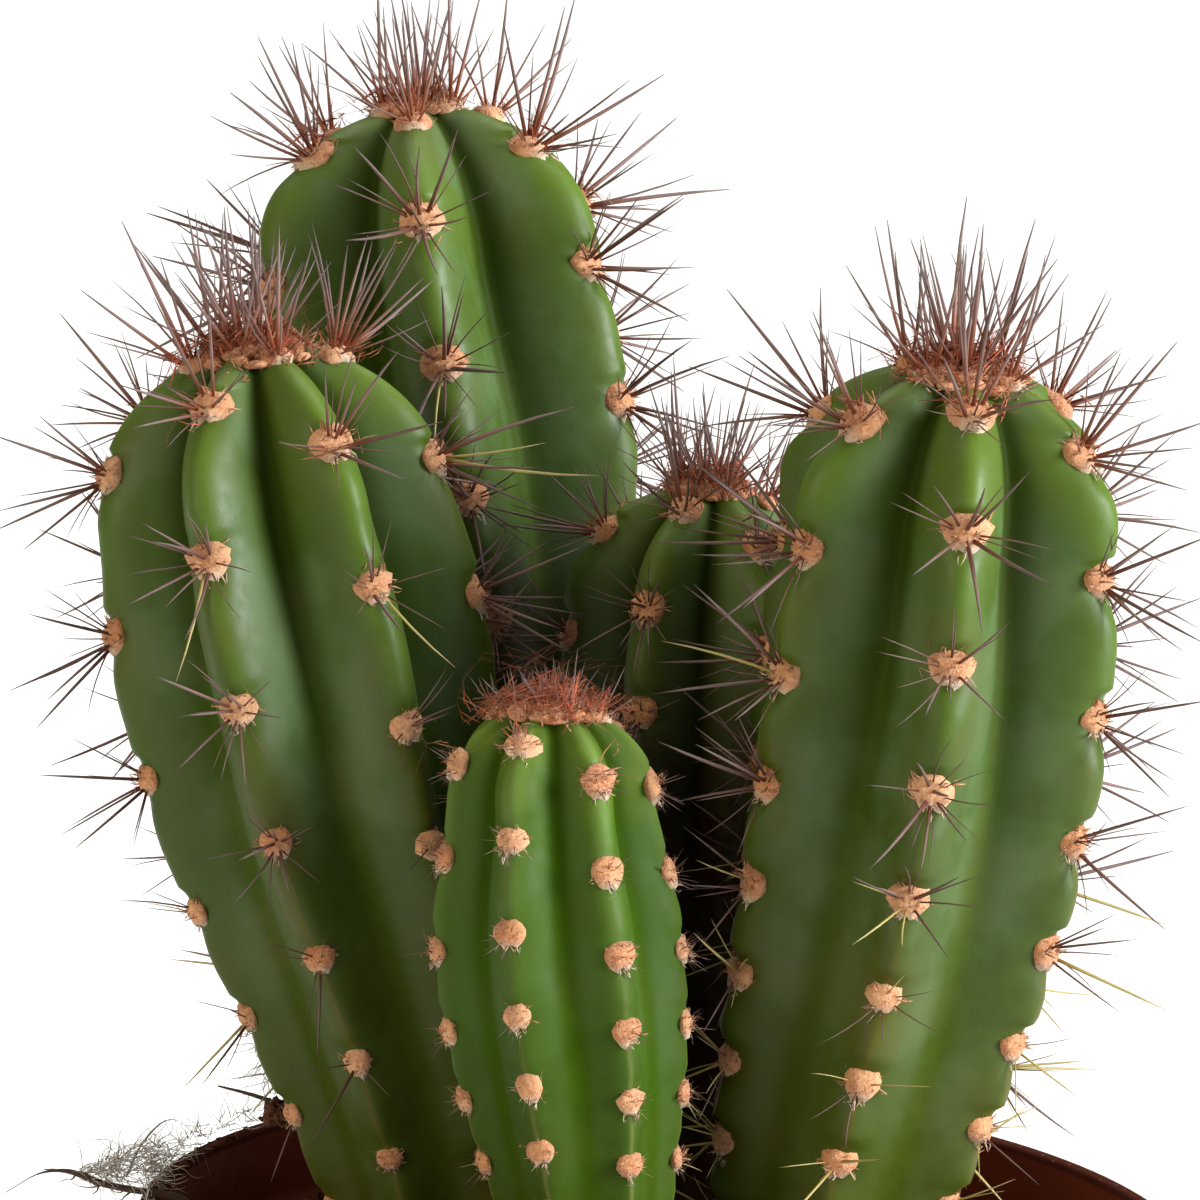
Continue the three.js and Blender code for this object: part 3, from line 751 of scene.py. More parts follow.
def add_thorn(shape, thickness, bend, sides, cuts, place=Matrix()):
    """Adds a thorn, 1 long along z before it is placed: a rod that thins late to a blunt tip."""
    before = set(shape.verts)
    size = {"radius1": thickness, "radius2": thickness, "depth": 1}
    rod = bmesh.ops.create_cone(shape, cap_ends=True, segments=sides, **size)["verts"]
    lengthwise = {e for v in rod for e in v.link_edges if abs(e.verts[0].co.z - e.verts[1].co.z) > 0.5}
    bmesh.ops.subdivide_edges(shape, edges=list(lengthwise), cuts=cuts)
    for vertex in set(shape.verts) - before:
        height = vertex.co.z + 0.5
        thinner = 1 - 0.35 * height - 0.5 * height**5
        vertex.co = place @ Vector((vertex.co.x * thinner + bend * height**2, vertex.co.y * thinner, height))


def thorn_shapes(thickness, bends):
    """Spines for their copies, each with its own bend."""
    shapes = []
    for bend in bends:
        shape = bmesh.new()
        add_thorn(shape, thickness, bend, sides=5, cuts=3)
        mesh = as_mesh("thorn", shape)
        set_value(mesh, "along", coordinates(mesh)[:, 2])
        shapes.append(mesh)
    return shapes


def tuft_shapes(count, hairs, thickness, seed):
    """Tufts of fine hairs that spread from a root, the longest about 1 long."""
    draw = random.Random(seed)
    shapes = []
    for _ in range(count):
        shape = bmesh.new()
        for _ in range(hairs):
            way = (draw.gauss(0, 0.45), draw.gauss(0, 0.45), 1)
            root = (draw.gauss(0, 0.22), draw.gauss(0, 0.22), -0.1)
            place = pointing(root, way, draw.uniform(0.5, 1), draw.uniform(0, ROLL))
            add_thorn(shape, thickness, draw.uniform(-0.4, 0.4), sides=3, cuts=1, place=place)
        shapes.append(as_mesh("tuft", shape))
    return shapes


DOMES = dome_shapes(8, seed=3)
SPINES = thorn_shapes(0.0175, (0, 0.03, -0.05, 0.08, -0.1))
FINE_SPINES = thorn_shapes(0.013, (0, 0.06, -0.1, 0.16))
TUFTS = tuft_shapes(6, hairs=6, thickness=0.1, seed=5)
FUZZ = tuft_shapes(6, hairs=8, thickness=0.03, seed=6)

PAD_SUNK = 0.3  # the share of its height that a pad lies in the skin

# The crown's wool: the width and height of its clumps, its hairs, the longest of the rusty fuzz, and how it
# falls away from the tip (times the square of the distance).
CROWN = {"clumps": 34, "wide": 2.2, "high": 1.5, "hairs": 190, "tufts": 100, "fuzz": 4.6, "falls": 0.045}
PAD_TUFTS = 20
RUSTY_TUFTS = 9
RUSTY_UNTIL = 0.14  # the age up to which a pad has some rusty fuzz
BUD = {"width": 0.74, "out": 1.1}  # a young pad at the crown, against its column's other pads


def pad_way(seat, tilt, turn):
    """A way off a pad, tilted from its way out towards a turn round it, and the way along the pad there."""
    aside = seat.along * cos(turn) + seat.across * sin(turn)
    return seat.out * cos(tilt) + aside * sin(tilt), aside


def crown_seat(form):
    point, up, front, side, _ = form.frame(0.0)
    return Seat(point, side, front, up, form.column.pads["wide"][0], 0.0)


def over_crown(form, count, first, reach, lean, high):
    """Spots over a crown, from its tip out: share of the reach, way off, way along, and the point."""
    crown = crown_seat(form)
    for k in range(count):
        share = ((k + first) / count) ** 0.5
        away = reach * form.column.wool * share
        way, aside = pad_way(crown, lean * away, GOLDEN_TURN * k)
        yield share, way, aside, crown.point + aside * away + crown.out * (high - CROWN["falls"] * away**2)


def column_seats(form):
    """The pads of every rib, and the young ones that crowd round the tip."""
    seats = [form.seat(rib, depth) for rib, depths in enumerate(form.pad_depths) for depth in depths]
    buds = []
    for rib, shift in enumerate(form.column.stagger):
        bud = form.seat(rib, form.pad_depth(shift - 1))
        bud.width *= BUD["width"]
        buds.append(bud)
    return seats, buds


def column_pads(form, seats, buds, draw):
    """The felt pads in the notches, and clumps of wool over the tip."""
    copies = []
    for seat in seats + buds:
        sizes = [PAD[way] * seat.width * draw.uniform(0.9, 1.1) for way in ("across", "along", "out")]
        if seat.age < 0.02:
            sizes[2] *= BUD["out"]
        root = seat.point - seat.out * PAD_SUNK * sizes[2]
        place = placed(root, seat.across, seat.along, seat.out, sizes)
        copies.append((draw.choice(DOMES), place, {"tone": draw.uniform(0.2, 0.9), "fresh": 0.0}))
    for _, way, aside, point in over_crown(form, CROWN["clumps"], 0, 1.0, 0.1, -0.1):
        sizes = [CROWN[size] / 2 * draw.uniform(0.8, 1.25) for size in ("wide", "wide", "high")]
        place = placed(point, unit(np.cross(aside, way)), aside, way, sizes)
        copies.append((draw.choice(DOMES), place, {"tone": draw.uniform(0.3, 0.9), "fresh": 0.15}))
    return scattered("pads", copies)


def column_felt(form, seats, buds, draw):
    """Short woolly hairs that stand out of the pads, and a longer rusty fuzz on the crown."""
    copies = []
    for seat in seats + buds:
        half_across, half_along, high = (PAD[way] * seat.width for way in ("across", "along", "out"))
        for k in range(PAD_TUFTS):
            turn = GOLDEN_TURN * k + draw.uniform(-0.4, 0.4)
            share = ((k + 0.5) / PAD_TUFTS) ** 0.5
            way, _ = pad_way(seat, radians(80) * share, turn)
            width = 0.62 + 0.38 * float(between(-0.9, 0.2, cos(turn)))
            root = seat.point + seat.out * high * (0.55 - 0.7 * share**2)
            root = root + seat.along * cos(turn) * half_along * 0.9 * share
            root = root + seat.across * sin(turn) * half_across * 0.9 * share * width
            size = seat.width * draw.uniform(0.2, 0.34)
            pale = max(0.0, -cos(turn)) * share
            values = {"tone": draw.uniform(0, 1), "pale": pale, "fresh": 0.0}
            copies.append((draw.choice(TUFTS), pointing(root, way, size, draw.uniform(0, ROLL)), values))
        rusty = float(between(RUSTY_UNTIL, 0.0, seat.age))
        for _ in range(round(rusty * RUSTY_TUFTS)):
            way, aside = pad_way(seat, radians(draw.uniform(0, 35)), draw.uniform(0, 2 * pi))
            root = seat.point + aside * draw.random() * half_across + seat.out * 0.6 * high
            add_fuzz(copies, root, way, 0.7, rusty, draw)
    for _, way, _, root in over_crown(form, CROWN["hairs"], 0.5, 1.2, radians(12), 0.3):
        place = pointing(root, way, draw.uniform(1.1, 1.9), draw.uniform(0, ROLL))
        shape = draw.choice(TUFTS)
        copies.append((shape, place, {"tone": draw.random(), "pale": 0.0, "fresh": draw.uniform(0, 0.4)}))
    for share, way, _, root in over_crown(form, CROWN["tufts"], 0.5, 0.85, radians(6), 0.4):
        add_fuzz(copies, root, way, 1 - 0.4 * share, 1.0, draw)
    return scattered("felt", copies)


def add_fuzz(copies, root, way, length, rusty, draw):
    """Adds a tuft of the long fuzz that is rusty where it is young."""
    size = CROWN["fuzz"] * length * draw.uniform(0.5, 1)
    values = {"tone": draw.uniform(0, 0.8), "pale": 0.0, "fresh": rusty * draw.uniform(0.6, 1)}
    copies.append((draw.choice(FUZZ), pointing(root, way, size, draw.uniform(0, ROLL)), values))


SPINE_CLEARANCE = 0.6
CLEAR_ABOVE = 1.5  # how far spines keep above the peat, and above the rim where they come near it
CLEAR_INSIDE = 5.0  # how near the rim, from inside, that holds
SPINE_BENDS = [0, -14, 14, -28, 28, -42]  # what a spine tries in turn to keep clear, at each of its lengths
SPINE_LENGTHS = [1, 0.7]
SUNK = 0.5  # how deep a spine stands in its pad
OLDEST_SPINE = 0.72  # the length of the oldest spines, against the youngest
SPINE_ROOT = 0.55  # the share of a pad's height at which its spines root
PALE_FROM = 0.4  # the age at which a column's pale spines begin
OLD = 0.8  # the age at which they have come fully, and the lost spines with them

# A pad's spines: tilt off the way out, turn round it from the top, share of the longest, share of the pad's
# half height that the root lies off the centre, and whether it is one of the fine ones.
PAD_SPINES = [
    (9, 20, 1.0, 0.15, False), (27, 42, 0.85, 0.4, False), (30, 318, 0.8, 0.4, False),
    (33, 140, 0.95, 0.45, False), (38, 222, 0.85, 0.45, False), (46, 178, 0.8, 0.6, False),
    (48, 85, 0.6, 0.6, True), (50, 275, 0.6, 0.6, True), (44, 0, 0.5, 0.55, True),
    (64, 155, 0.5, 0.8, True), (64, 205, 0.5, 0.8, True), (22, 180, 0.8, 0.3, True),
    (40, 15, 0.65, 0.5, True), (57, 62, 0.55, 0.7, True), (57, 298, 0.55, 0.7, True),
    (57, 120, 0.5, 0.7, True),
]
BUD_SPINES = [
    (6, 0, 1.0, 0.0, False), (24, 70, 0.85, 0.4, False), (28, 190, 0.9, 0.4, False),
    (24, 300, 0.8, 0.4, False), (46, 130, 0.7, 0.5, True), (46, 235, 0.65, 0.5, True),
    (15, 250, 0.9, 0.2, True), (34, 20, 0.8, 0.45, True),
]
TUFT = {"spines": 22, "spread": 46, "share": 0.85}

# Long pale spines that stray: column, rib, which of its pads from the top, tilt, turn and length.
STRAYS = [
    ("left", 0, 1, 74, 186, 12.5),
    ("left", 2, 0, 36, 178, 16),
    ("left", 2, 0, 20, 172, 11),
    ("left", 1, 1, 70, 170, 11),
    ("back", 0, 1, 66, 200, 12),
    ("right", 5, 2, 52, 268, 13),
]


def is_clear(points, neighbours):
    """Whether a spine keeps clear of the soil, the pot's rim and the other columns."""
    near_rim = np.hypot(points[:, 0], points[:, 1]) > RIM_RADIUS - CLEAR_INSIDE
    at_rim = near_rim & (points[:, 2] < POT_HEIGHT + CLEAR_ABOVE)
    if at_rim.any() or (points[:, 2] < SOIL["level"] + CLEAR_ABOVE).any():
        return False
    centres, radii = neighbours
    apart = np.linalg.norm(points[:, None] - centres[None], axis=2)
    return bool((apart > radii[None] + SPINE_CLEARANCE).all())


def grown_spine(seat, off_centre, tilt, turn, length, neighbours):
    """The matrix of a spine that is bent clear of its neighbours, or nothing."""
    for bend in SPINE_BENDS:
        for shorter in SPINE_LENGTHS:
            way, aside = pad_way(seat, radians(tilt + bend), radians(turn))
            root = seat.point + aside * off_centre * PAD["along"] * seat.width
            root = root + seat.out * SPINE_ROOT * PAD["out"] * seat.width
            steps = np.linspace(0.2, 1, 7)[:, None] * length * shorter
            if is_clear(root + steps * way, neighbours):
                return pointing(root - way * SUNK, way, length * shorter + SUNK, turn)
    return None


def column_spines(form, seats, buds, others, draw):
    """The spines of every pad and the tuft on the crown."""
    column = form.column
    frames = [other.frame(np.arange(0, other.length, 3.0)) for other in others]
    neighbours = np.concatenate([f[0] for f in frames]), np.concatenate([f[4] for f in frames])
    copies = []

    def grow(seat, spine, longest, tone, fresh):
        tilt, turn, share, off_centre, fine = spine
        tilt, turn = tilt + draw.uniform(-7, 7), turn + draw.uniform(-16, 16)
        length = longest * share * draw.uniform(0.72, 1.1)
        place = grown_spine(seat, off_centre, tilt, turn, length, neighbours)
        if place:
            shape = draw.choice(FINE_SPINES if fine else SPINES)
            copies.append((shape, place, {"tone": tone, "fresh": fresh}))

    for count, seat in enumerate(seats):
        longest = column.spine * (1 + (OLDEST_SPINE - 1) * float(smooth(seat.age)))
        for tilt, turn, share, off_centre, fine in PAD_SPINES:
            if draw.random() < column.sparse * seat.age / OLD:
                continue
            pale = draw.random() < column.straw * float(between(PALE_FROM, OLD, seat.age))
            tone = 0.8 + 0.2 * draw.random() if pale else (0.2 if fine else 0.5) * draw.random()
            mirrored = (tilt, turn if count % 2 else -turn, share, off_centre, fine)
            grow(seat, mirrored, longest, tone, max(0.0, 0.5 - 2.5 * seat.age))
    for name, rib, which, tilt, turn, length in STRAYS:
        if name == column.name:
            seat = form.seat(rib, form.pad_depths[rib][which])
            way, _ = pad_way(seat, radians(tilt), radians(turn))
            place = pointing(seat.point + seat.out * 0.4 - way * SUNK, way, length, turn)
            copies.append((FINE_SPINES[3], place, {"tone": 0.95, "fresh": 0.0}))
    for bud in buds:
        for spine in BUD_SPINES:
            grow(bud, spine, column.tuft, 0.5 * draw.random(), 0.85)
    crown = crown_seat(form)
    for k in range(TUFT["spines"]):
        away = (k + 0.5) / TUFT["spines"]
        share = TUFT["share"] * (1 - 0.3 * away)
        spine = (TUFT["spread"] * away, 137.5 * k, share, 1.2 * away**0.5, k % 2 == 0)
        grow(crown, spine, column.tuft, 0.5 * draw.random(), 1.0)
    return scattered("spines", copies)


def add_columns():
    forms = [Form(column) for column in COLUMNS]
    for form in forms:
        name = form.column.name
        draw = random.Random(form.column.seed)
        seats, buds = column_seats(form)
        others = [other for other in forms if other is not form]
        # The front column wears young skin, whose greens are darkened in part as painted shade.
        skin = "young_skin" if name == "front" else "cactus_skin"
        piece(name + "_skin", column_skin(form), skin, stands_for=["column_" + name])
        piece(name + "_pads", column_pads(form, seats, buds, draw), "pad_felt")
        piece(name + "_felt", column_felt(form, seats, buds, draw), "pad_felt")
        piece(name + "_spines", column_spines(form, seats, buds, others, draw), "spines")
    return forms


# ---- Pot and peat ----

ROUND_STEPS = 144
CORNER_ROUND = 0.55
SHARP = {"pot": 40, "peat": 70}  # the angle in degrees past which two faces keep a sharp edge


def cut_away(mesh, cutter):
    """The mesh less another closed mesh."""
    body, tool = added("cut", mesh), added("cut", cutter)
    modifier = body.modifiers.new("cut", "BOOLEAN")
    modifier.object = tool
    modifier.operation = "DIFFERENCE"
    modifier.solver = "EXACT"
    result = bpy.data.meshes.new_from_object(body.evaluated_get(bpy.context.evaluated_depsgraph_get()))
    for made in (body, tool):
        bpy.data.objects.remove(made)
    return result


def drain_holes():
    """The rods that the drain holes are cut with."""
    holes = bmesh.new()
    size = {"radius1": DRAIN["radius"], "radius2": DRAIN["radius"], "depth": 4 * POT_FLOOR}
    for k in range(DRAIN["holes"]):
        angle = 2 * pi * k / DRAIN["holes"]
        place = Matrix.Translation((DRAIN["circle"] * cos(angle), DRAIN["circle"] * sin(angle), 0))
        bmesh.ops.create_cone(holes, cap_ends=True, segments=40, matrix=place, **size)
    return as_mesh("holes", holes)


def add_pot():
    """The nursery pot: its section is rounded at each corner, spun, and drained by holes round the floor."""
    neck = RIM_RADIUS - BAND_STEP
    shoulder = POT_HEIGHT - BAND_HEIGHT
    inner_rim = RIM_RADIUS - WALL - EDGE
    section = [
        (0, 0), (FOOT_RADIUS, 0), (neck - EDGE, shoulder), (RIM_RADIUS - EDGE / 2, shoulder),
        (RIM_RADIUS, POT_HEIGHT), (inner_rim, POT_HEIGHT), (inner_rim, shoulder + WALL),
        (neck - WALL - EDGE, shoulder - WALL), (FOOT_RADIUS - WALL, POT_FLOOR), (0, POT_FLOOR),
    ]
    shape = bmesh.new()
    corners = [shape.verts.new((r, 0, z)) for r, z in section]
    for a, b in zip(corners, corners[1:]):
        shape.edges.new((a, b))
    rounding = {"offset": CORNER_ROUND, "offset_type": "OFFSET", "profile": 0.5, "material": -1}
    bmesh.ops.bevel(shape, geom=corners[1:-1], affect="VERTICES", segments=4, **rounding)
    turning = {"axis": (0, 0, 1), "cent": (0, 0, 0), "steps": ROUND_STEPS, "angle": 2 * pi, "use_merge": True}
    bmesh.ops.spin(shape, geom=shape.verts[:] + shape.edges[:], **turning)
    bmesh.ops.remove_doubles(shape, verts=shape.verts, dist=0.01)
    bmesh.ops.recalc_face_normals(shape, faces=shape.faces)
    mesh = cut_away(as_mesh("pot", shape), drain_holes())
    made = piece("pot_shell", mesh, "pot_plastic", stands_for=["pot"])
    made.data.set_sharp_from_angle(angle=radians(SHARP["pot"]))


def soil_reach(z):
    """Radius of the peat's side at a height, a seat's gap inside the wall."""
    low, high = POT_FLOOR, POT_HEIGHT - BAND_HEIGHT - WALL
    foot, neck = FOOT_RADIUS - WALL, RIM_RADIUS - BAND_STEP - EDGE - WALL
    return foot + (neck - foot) * (z - low) / (high - low) - SEAT_GAP


def soil_height(x, y):
    """Height of the peat's surface, lumpy and a little higher in the middle."""
    heap = SOIL["crown"] * (1 - hypot(x, y) / RIM_RADIUS)
    lumps = sin(0.41 * x + 1.3) * sin(0.37 * y + 0.4) + 0.6 * sin(0.83 * x - 0.71 * y)
    return SOIL["level"] - SOIL["crown"] + heap + SOIL["relief"] * lumps


def crumbled(x, y):
    """Fine relief of the crumbs at the surface."""
    coarse, middling, fine = (noise.noise(Vector((x, y, 0)) * scale) for scale in (0.55, 1.3, 2.9))
    return SOIL["crumb"] * (coarse + 0.6 * middling + 0.3 * fine)


PEAT_GRID = {"rows": 84, "top": 0.78, "side": 0.94}  # the shares of the rows that end the top and the side


def peat_point(turn, share):
    """A point of the peat's outside: from the top's centre over its edge and down the side to the bottom."""
    bottom = POT_FLOOR + SEAT_GAP
    edge = SOIL["edge"]
    if share <= PEAT_GRID["top"]:
        reach = soil_reach(edge) * share / PEAT_GRID["top"]
        x, y = reach * cos(turn), reach * sin(turn)
        to_edge = float(between(soil_reach(edge) - SOIL["slope"], soil_reach(edge), reach))
        return x, y, soil_height(x, y) * (1 - to_edge) + edge * to_edge + crumbled(x, y) * (1 - to_edge)
    if share <= PEAT_GRID["side"]:
        z = edge + (bottom - edge) * (share - PEAT_GRID["top"]) / (PEAT_GRID["side"] - PEAT_GRID["top"])
        return soil_reach(z) * cos(turn), soil_reach(z) * sin(turn), z
    reach = soil_reach(bottom) * (1 - share) / (1 - PEAT_GRID["side"])
    return reach * cos(turn), reach * sin(turn), bottom


def foot_holes(forms):
    """The holes that the columns' feet stand in."""
    holes = bmesh.new()
    for form in forms:
        foot = form.length + ROOT_DEPTH
        depths = [form.length - HOLE_ABOVE, form.length, form.length + 0.85 * ROOT_DEPTH, foot + SEAT_GAP]
        rings = []
        for depth in depths:
            point, up, front, side, radius = form.frame(depth)
            place = placed(point, front, side, up)
            width = float(radius) if depth > form.length - 1 else float(form.radius(SOIL["level"]))
            ring = bmesh.ops.create_circle(holes, segments=48, radius=width + SEAT_GAP, matrix=place)["verts"]
            rings.append(list({edge for vertex in ring for edge in vertex.link_edges}))
        for upper, lower in zip(rings, rings[1:]):
            bmesh.ops.bridge_loops(holes, edges=upper + lower)
        bmesh.ops.holes_fill(holes, edges=rings[0] + rings[-1], sides=0)
    bmesh.ops.recalc_face_normals(holes, faces=holes.faces)
    return as_mesh("holes", holes)


def add_peat(forms):
    mesh = wrapped_grid("peat", ROUND_STEPS, PEAT_GRID["rows"])
    flat = coordinates(mesh)
    points = np.array([peat_point((x + 1) * pi, (y + 1) / 2) for x, y, _ in flat])
    set_coordinates(mesh, points)
    closed(mesh, 0.005)
    mesh = cut_away(mesh, foot_holes(forms))
    set_value(mesh, "tone", 0.3)
    made = piece("peat_bed", mesh, "peat", stands_for=["soil"])
    made.data.set_sharp_from_angle(angle=radians(SHARP["peat"]))


def crumb_shapes(count, seed):
    draw = random.Random(seed)
    shapes = []
    for _ in range(count):
        shape = bmesh.new()
        bmesh.ops.create_icosphere(shape, subdivisions=1, radius=1)
        stretch = Vector([draw.uniform(0.6, 1.2) for _ in range(3)])
        for vertex in shape.verts:
            vertex.co = vertex.co * stretch * draw.uniform(0.75, 1.2)
        shapes.append(as_mesh("crumb", shape))
    return shapes


CRUMBS = {"count": 2600, "smallest": 0.25, "largest": 1.5}
RIM_CRUMBS = {"count": 90, "around": 158, "spread": 14}  # in degrees round the rim
CLUMP = {"centre": (-38.9, -6, 103.2), "size": (1.1, 1.3, 0.9), "crumbs": 90}  # peat left on the left column


def peat_spot(draw, reach):
    """A random place on the peat, clear of its edge, even over its area."""
    away, turn = reach * draw.random() ** 0.5, draw.uniform(0, 2 * pi)
    x, y = away * cos(turn), away * sin(turn)
    return x, y, soil_height(x, y) + crumbled(x, y)


def add_crumbs():
    draw = random.Random(21)
    shapes = crumb_shapes(5, seed=22)
    copies = []
    for _ in range(CRUMBS["count"]):
        size = CRUMBS["smallest"] + (CRUMBS["largest"] - CRUMBS["smallest"]) * draw.random() ** 3
        x, y, z = peat_spot(draw, soil_reach(SOIL["edge"]) - 1.5)
        turn = Matrix.Rotation(draw.uniform(0, 2 * pi), 4, draw.choice("XYZ"))
        place = Matrix.Translation((x, y, z + 0.25 * size)) @ turn @ Matrix.Scale(size, 4)
        copies.append((draw.choice(shapes), place, {"tone": draw.random() ** 1.6}))
    for _ in range(CLUMP["crumbs"]):
        point = [c + draw.gauss(0, 0.6) * size for c, size in zip(CLUMP["centre"], CLUMP["size"])]
        place = Matrix.Translation(point) @ Matrix.Scale(draw.uniform(0.3, 0.8), 4)
        copies.append((draw.choice(shapes), place, {"tone": draw.uniform(0.1, 0.6)}))
    for _ in range(RIM_CRUMBS["count"]):
        turn = radians(draw.gauss(RIM_CRUMBS["around"], RIM_CRUMBS["spread"]))
        away = RIM_RADIUS - draw.uniform(0.4, 1.6)
        place = Matrix.Translation((away * cos(turn), away * sin(turn), POT_HEIGHT))
        place = place @ Matrix.Scale(draw.uniform(0.15, 0.45), 4)
        copies.append((draw.choice(shapes), place, {"tone": draw.uniform(0.0, 0.3)}))
    piece("peat_crumbs", scattered("crumbs", copies), "peat")


# ---- Roots and fibres ----

LOOSE_ROOT = [
    (-38, 2.6, 78), (-44.5, 2.4, 87.5), (-48.5, 1.8, 91.7), (-52.9, 1, 92.6), (-56.1, 1, 93.1),
    (-58.6, 1, 94), (-60.3, 1, 94.2), (-62.4, 1, 93.7), (-65.4, 1, 91.7),
]
THINS = 0.75  # the share of its thickness that a strand loses
ROUTE_STEPS = 5


def strand(route, thickness, sides=5, steps=4):
    """A tapered strand along a smooth route: a ring is drawn out from point to point and ends closed."""
    shape = bmesh.new()
    line = smooth_line(route, steps)
    way = Vector(line[1] - line[0]).to_track_quat("Z", "Y").to_matrix().to_4x4()
    at_start = {"radius": thickness, "matrix": Matrix.Translation(Vector(line[0])) @ way}
    ring = bmesh.ops.create_circle(shape, segments=sides, cap_ends=True, **at_start)["verts"]
    edges = list({edge for vertex in ring for edge in vertex.link_edges})
    for k in range(1, len(line)):
        drawn = bmesh.ops.extrude_edge_only(shape, edges=edges)["geom"]
        ring = [item for item in drawn if isinstance(item, bmesh.types.BMVert)]
        lengths = [item for item in drawn if isinstance(item, bmesh.types.BMEdge)]
        edges = [edge for edge in lengths if set(edge.verts) <= set(ring)]
        bmesh.ops.translate(shape, verts=ring, vec=Vector(line[k] - line[k - 1]))
        slimmer = (1 - THINS * k / len(line)) / (1 - THINS * (k - 1) / len(line))
        place = Matrix.Translation(-Vector(line[k]))
        bmesh.ops.scale(shape, verts=ring, vec=(slimmer,) * 3, space=place)
    bmesh.ops.contextual_create(shape, geom=edges)
    bmesh.ops.recalc_face_normals(shape, faces=shape.faces)
    return as_mesh("strand", shape)


def fibre_shapes(count, thickness, wander, seed):
    """Strands for their copies, about 1 long along z."""
    draw = random.Random(seed)
    routes = [wandering(draw, (0, 0, 0), (0, 0, 1), 1, wander) for _ in range(count)]
    return [strand(route, thickness, sides=3, steps=2) for route in routes]


def wandering(draw, start, way, length, wander):
    """A route that wanders off from a start."""
    point, way = np.array(start, float), unit(np.array(way, float))
    route = [point]
    for _ in range(ROUTE_STEPS):
        way = unit(way + np.array([draw.uniform(-wander, wander) for _ in range(3)]))
        point = point + way * length / ROUTE_STEPS
        route.append(point)
    return route


ARCH = [
    (-53.8, 4, 93), (-52.3, 4, 96.6), (-50.1, 4, 99), (-48.6, 4, 98.9), (-46.7, 4, 96.7), (-45.4, 4.4, 93),
]
SPIKE = [(-37.5, -6, 103.8), (-41.5, -6, 105), (-44.8, -6, 105.7)]
BRANCHES = 6
PEAT_ROOTS = 80
WEB = {"strands": 150, "from": 144, "to": 184, "sheet": 270, "wisps": 70}  # from, to: degrees round the rim


def add_web(copies, draw):
    """A web of fine pale fibres along the left of the rim, and wisps of it up the left column's side."""
    shapes = fibre_shapes(8, 0.013, 0.7, seed=32)

    def add(start, way, length):
        place = pointing(start, way, length, draw.uniform(0, ROLL))
        copies.append((draw.choice(shapes), place, {"tone": draw.uniform(0.75, 1)}))

    reach = RIM_RADIUS - 1
    for _ in range(WEB["strands"]):
        turn = radians(draw.uniform(WEB["from"], WEB["to"]))
        start = (reach * cos(turn), reach * sin(turn), POT_HEIGHT + draw.uniform(0.4, 2.4))
        add(start, (draw.uniform(-0.9, 0.9), 0, draw.uniform(0.1, 0.8)), draw.uniform(2, 5))
    for _ in range(WEB["sheet"]):
        along = draw.random()
        start = (-58.5 + 8 * along, draw.uniform(0, 4), 93.6 + 4.5 * along * draw.random())
        add(start, (1, 0, draw.uniform(-0.4, 0.9)), draw.uniform(2, 6))
    for _ in range(WEB["wisps"]):
        along = draw.random()
        start = (-41 + 2.4 * along - draw.uniform(0, 1.4), draw.uniform(-7, -5), 111.5 - 6 * along)
        add(start, (draw.uniform(-0.5, 0.7), 0, -1), draw.uniform(1.5, 5))


def add_roots():
    """The dark root that curls over the rim, its branches, the pale web beside it, and roots in the peat."""
    draw = random.Random(31)
    thick = [(LOOSE_ROOT, 0.75, 0.1), (ARCH, 0.12, 0.4), (SPIKE, 0.3, 0.05)]
    for k in range(BRANCHES):
        start = np.array(LOOSE_ROOT[3 + k % 4], float)
        way = (draw.uniform(-1, 0.3), draw.uniform(-0.5, 0.5), draw.uniform(-1, 0))
        thick.append((wandering(draw, start, way, draw.uniform(2, 4), 0.5), 0.12, draw.uniform(0.3, 0.7)))
    copies = [(strand(route, thickness), Matrix(), {"tone": tone}) for route, thickness, tone in thick]
    shapes = fibre_shapes(8, 0.02, 0.35, seed=33)
    for _ in range(PEAT_ROOTS):
        x, y, z = peat_spot(draw, soil_reach(SOIL["edge"]) - 5)
        turn = draw.uniform(0, 2 * pi)
        way = (cos(turn), sin(turn), draw.uniform(0, 0.12))
        place = pointing((x, y, z + 0.3), way, draw.uniform(4, 11), 0)
        copies.append((draw.choice(shapes), place, {"tone": draw.uniform(0.0, 0.6)}))
    add_web(copies, draw)
    piece("root_fibres", scattered("roots", copies), "root_fibre")


# ---- Camera, floor and lights ----

CAMERA = {"look_at": (-10.1, 0, 154.9), "distance": 1000.0, "elevation": 13.4, "roll": 3.0, "lens": 309.5}


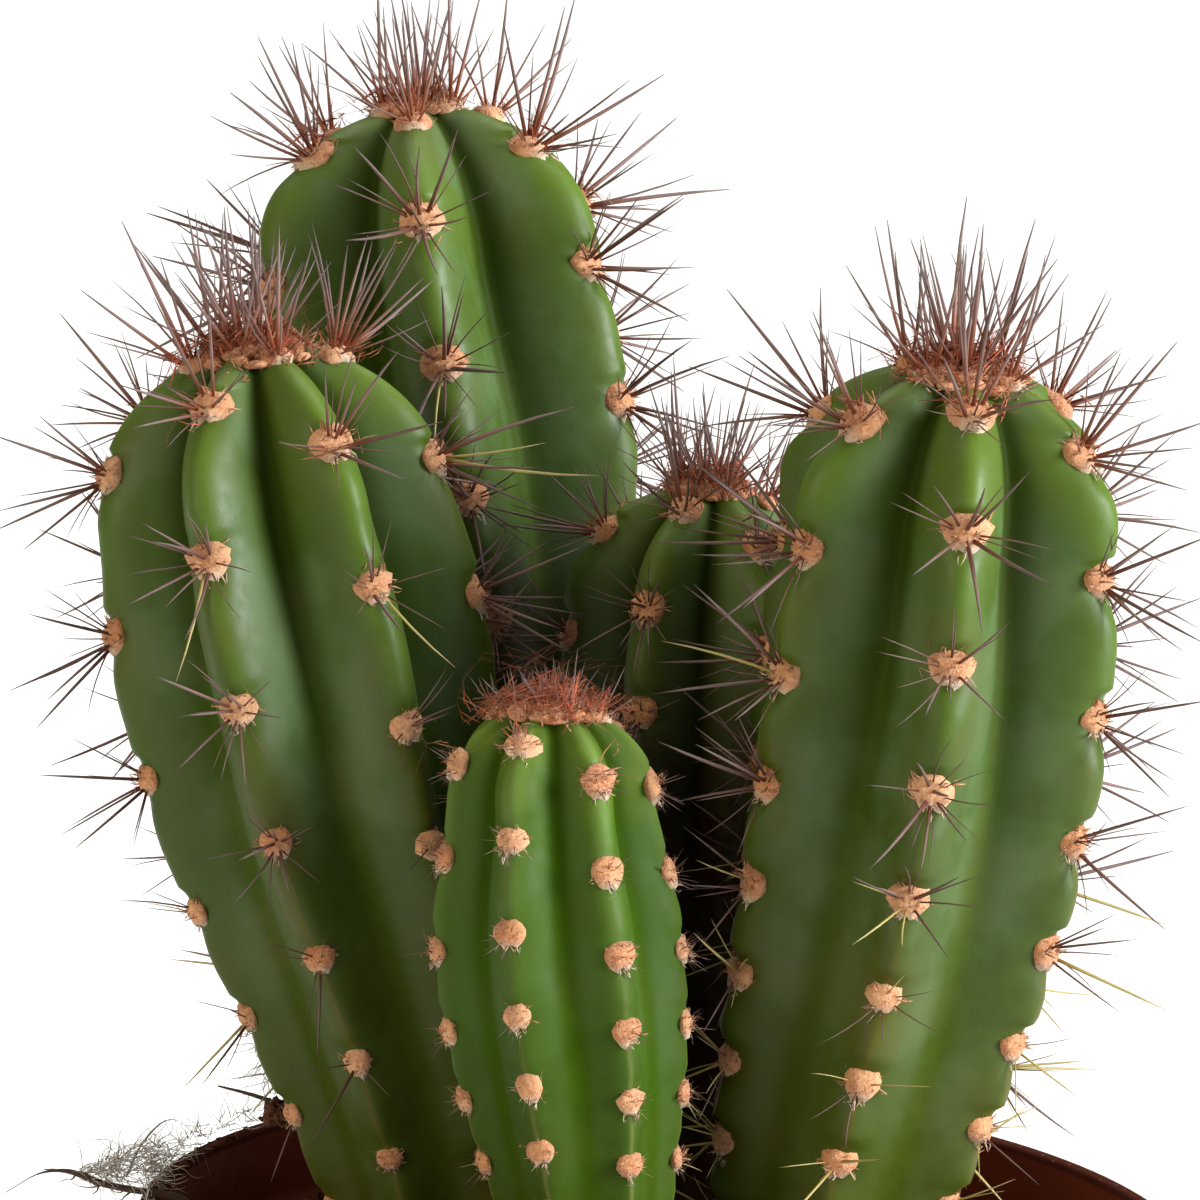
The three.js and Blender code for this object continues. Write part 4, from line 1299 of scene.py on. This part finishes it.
def add_camera():
    """A long lens from a little above, with the picture's level dropping to the right by the roll."""
    rise, roll = radians(CAMERA["elevation"]), radians(CAMERA["roll"])
    back, up, right = Vector((0, -cos(rise), sin(rise))), Vector((0, sin(rise), cos(rise))), Vector((1, 0, 0))
    axes = (right * cos(roll) + up * sin(roll), up * cos(roll) - right * sin(roll), back)
    data = bpy.data.cameras.new("camera")
    data.sensor_width = 36
    data.lens = CAMERA["lens"]
    data.clip_start, data.clip_end = 0.05, 20
    camera = added("camera", data)
    place = (Vector(CAMERA["look_at"]) + back * CAMERA["distance"]) * MM
    camera.matrix_world = Matrix.Translation(place) @ Matrix(axes).transposed().to_4x4()
    bpy.context.scene.camera = camera


def add_floor():
    shape = bmesh.new()
    bmesh.ops.create_grid(shape, x_segments=4, y_segments=4, size=6)
    made = added("floor", as_mesh("floor", shape))
    look = Finish("floor", 3.0, {"Roughness": 0.8, "Specular IOR Level": 0.2})
    look.colour = look.mixed(look.mottle["Broad"], "f4f3f1", "f7f6f5")
    made.data.materials.append(look.done())
    made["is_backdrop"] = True


LIGHTS = [
    # name, place, target, width, height, power (watts), spread, colour
    ("window", (1.25, -0.42, 0.6), (0, 0, 0.14), 0.6, 1.1, 8.0, 60, (0.92, 0.98, 1.0)),
    ("left_sheet", (-0.9, -0.9, 0.5), (0, 0, 0.14), 0.7, 0.9, 1.3, 60, (1.0, 0.88, 0.6)),
    ("overhead", (0, 1.0, 1.5), (0, 0.9, 0), 2.0, 1.5, 15.5, 110, (1.0, 1.0, 1.0)),
]
WORLD = {"colour": (1.0, 0.98, 0.95), "strength": 0.22}


def add_lights():
    for name, place, target, width, height, power, spread_angle, colour in LIGHTS:
        data = bpy.data.lights.new(name, "AREA")
        data.shape = "RECTANGLE"
        data.size, data.size_y = width, height
        data.energy = power
        data.spread = radians(spread_angle)
        data.color = colour
        lamp = added(name, data)
        lamp.location = place
        lamp.rotation_euler = (Vector(target) - Vector(place)).to_track_quat("-Z", "Y").to_euler()
    world = bpy.data.worlds.new("studio")
    world.use_nodes = True
    sky = world.node_tree.nodes["Background"]
    sky.inputs["Color"].default_value = (*WORLD["colour"], 1)
    sky.inputs["Strength"].default_value = WORLD["strength"]
    bpy.context.scene.world = world
    bpy.context.scene.view_settings.view_transform = "Standard"


# ---- The whole ----

add_camera()
add_floor()
add_lights()
column_forms = add_columns()
add_pot()
add_peat(column_forms)
add_crumbs()
add_roots()

boxes = {"cad": CAD_BOX, "visual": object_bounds()}
{name: [list(corner) for corner in box] for name, box in boxes.items()}
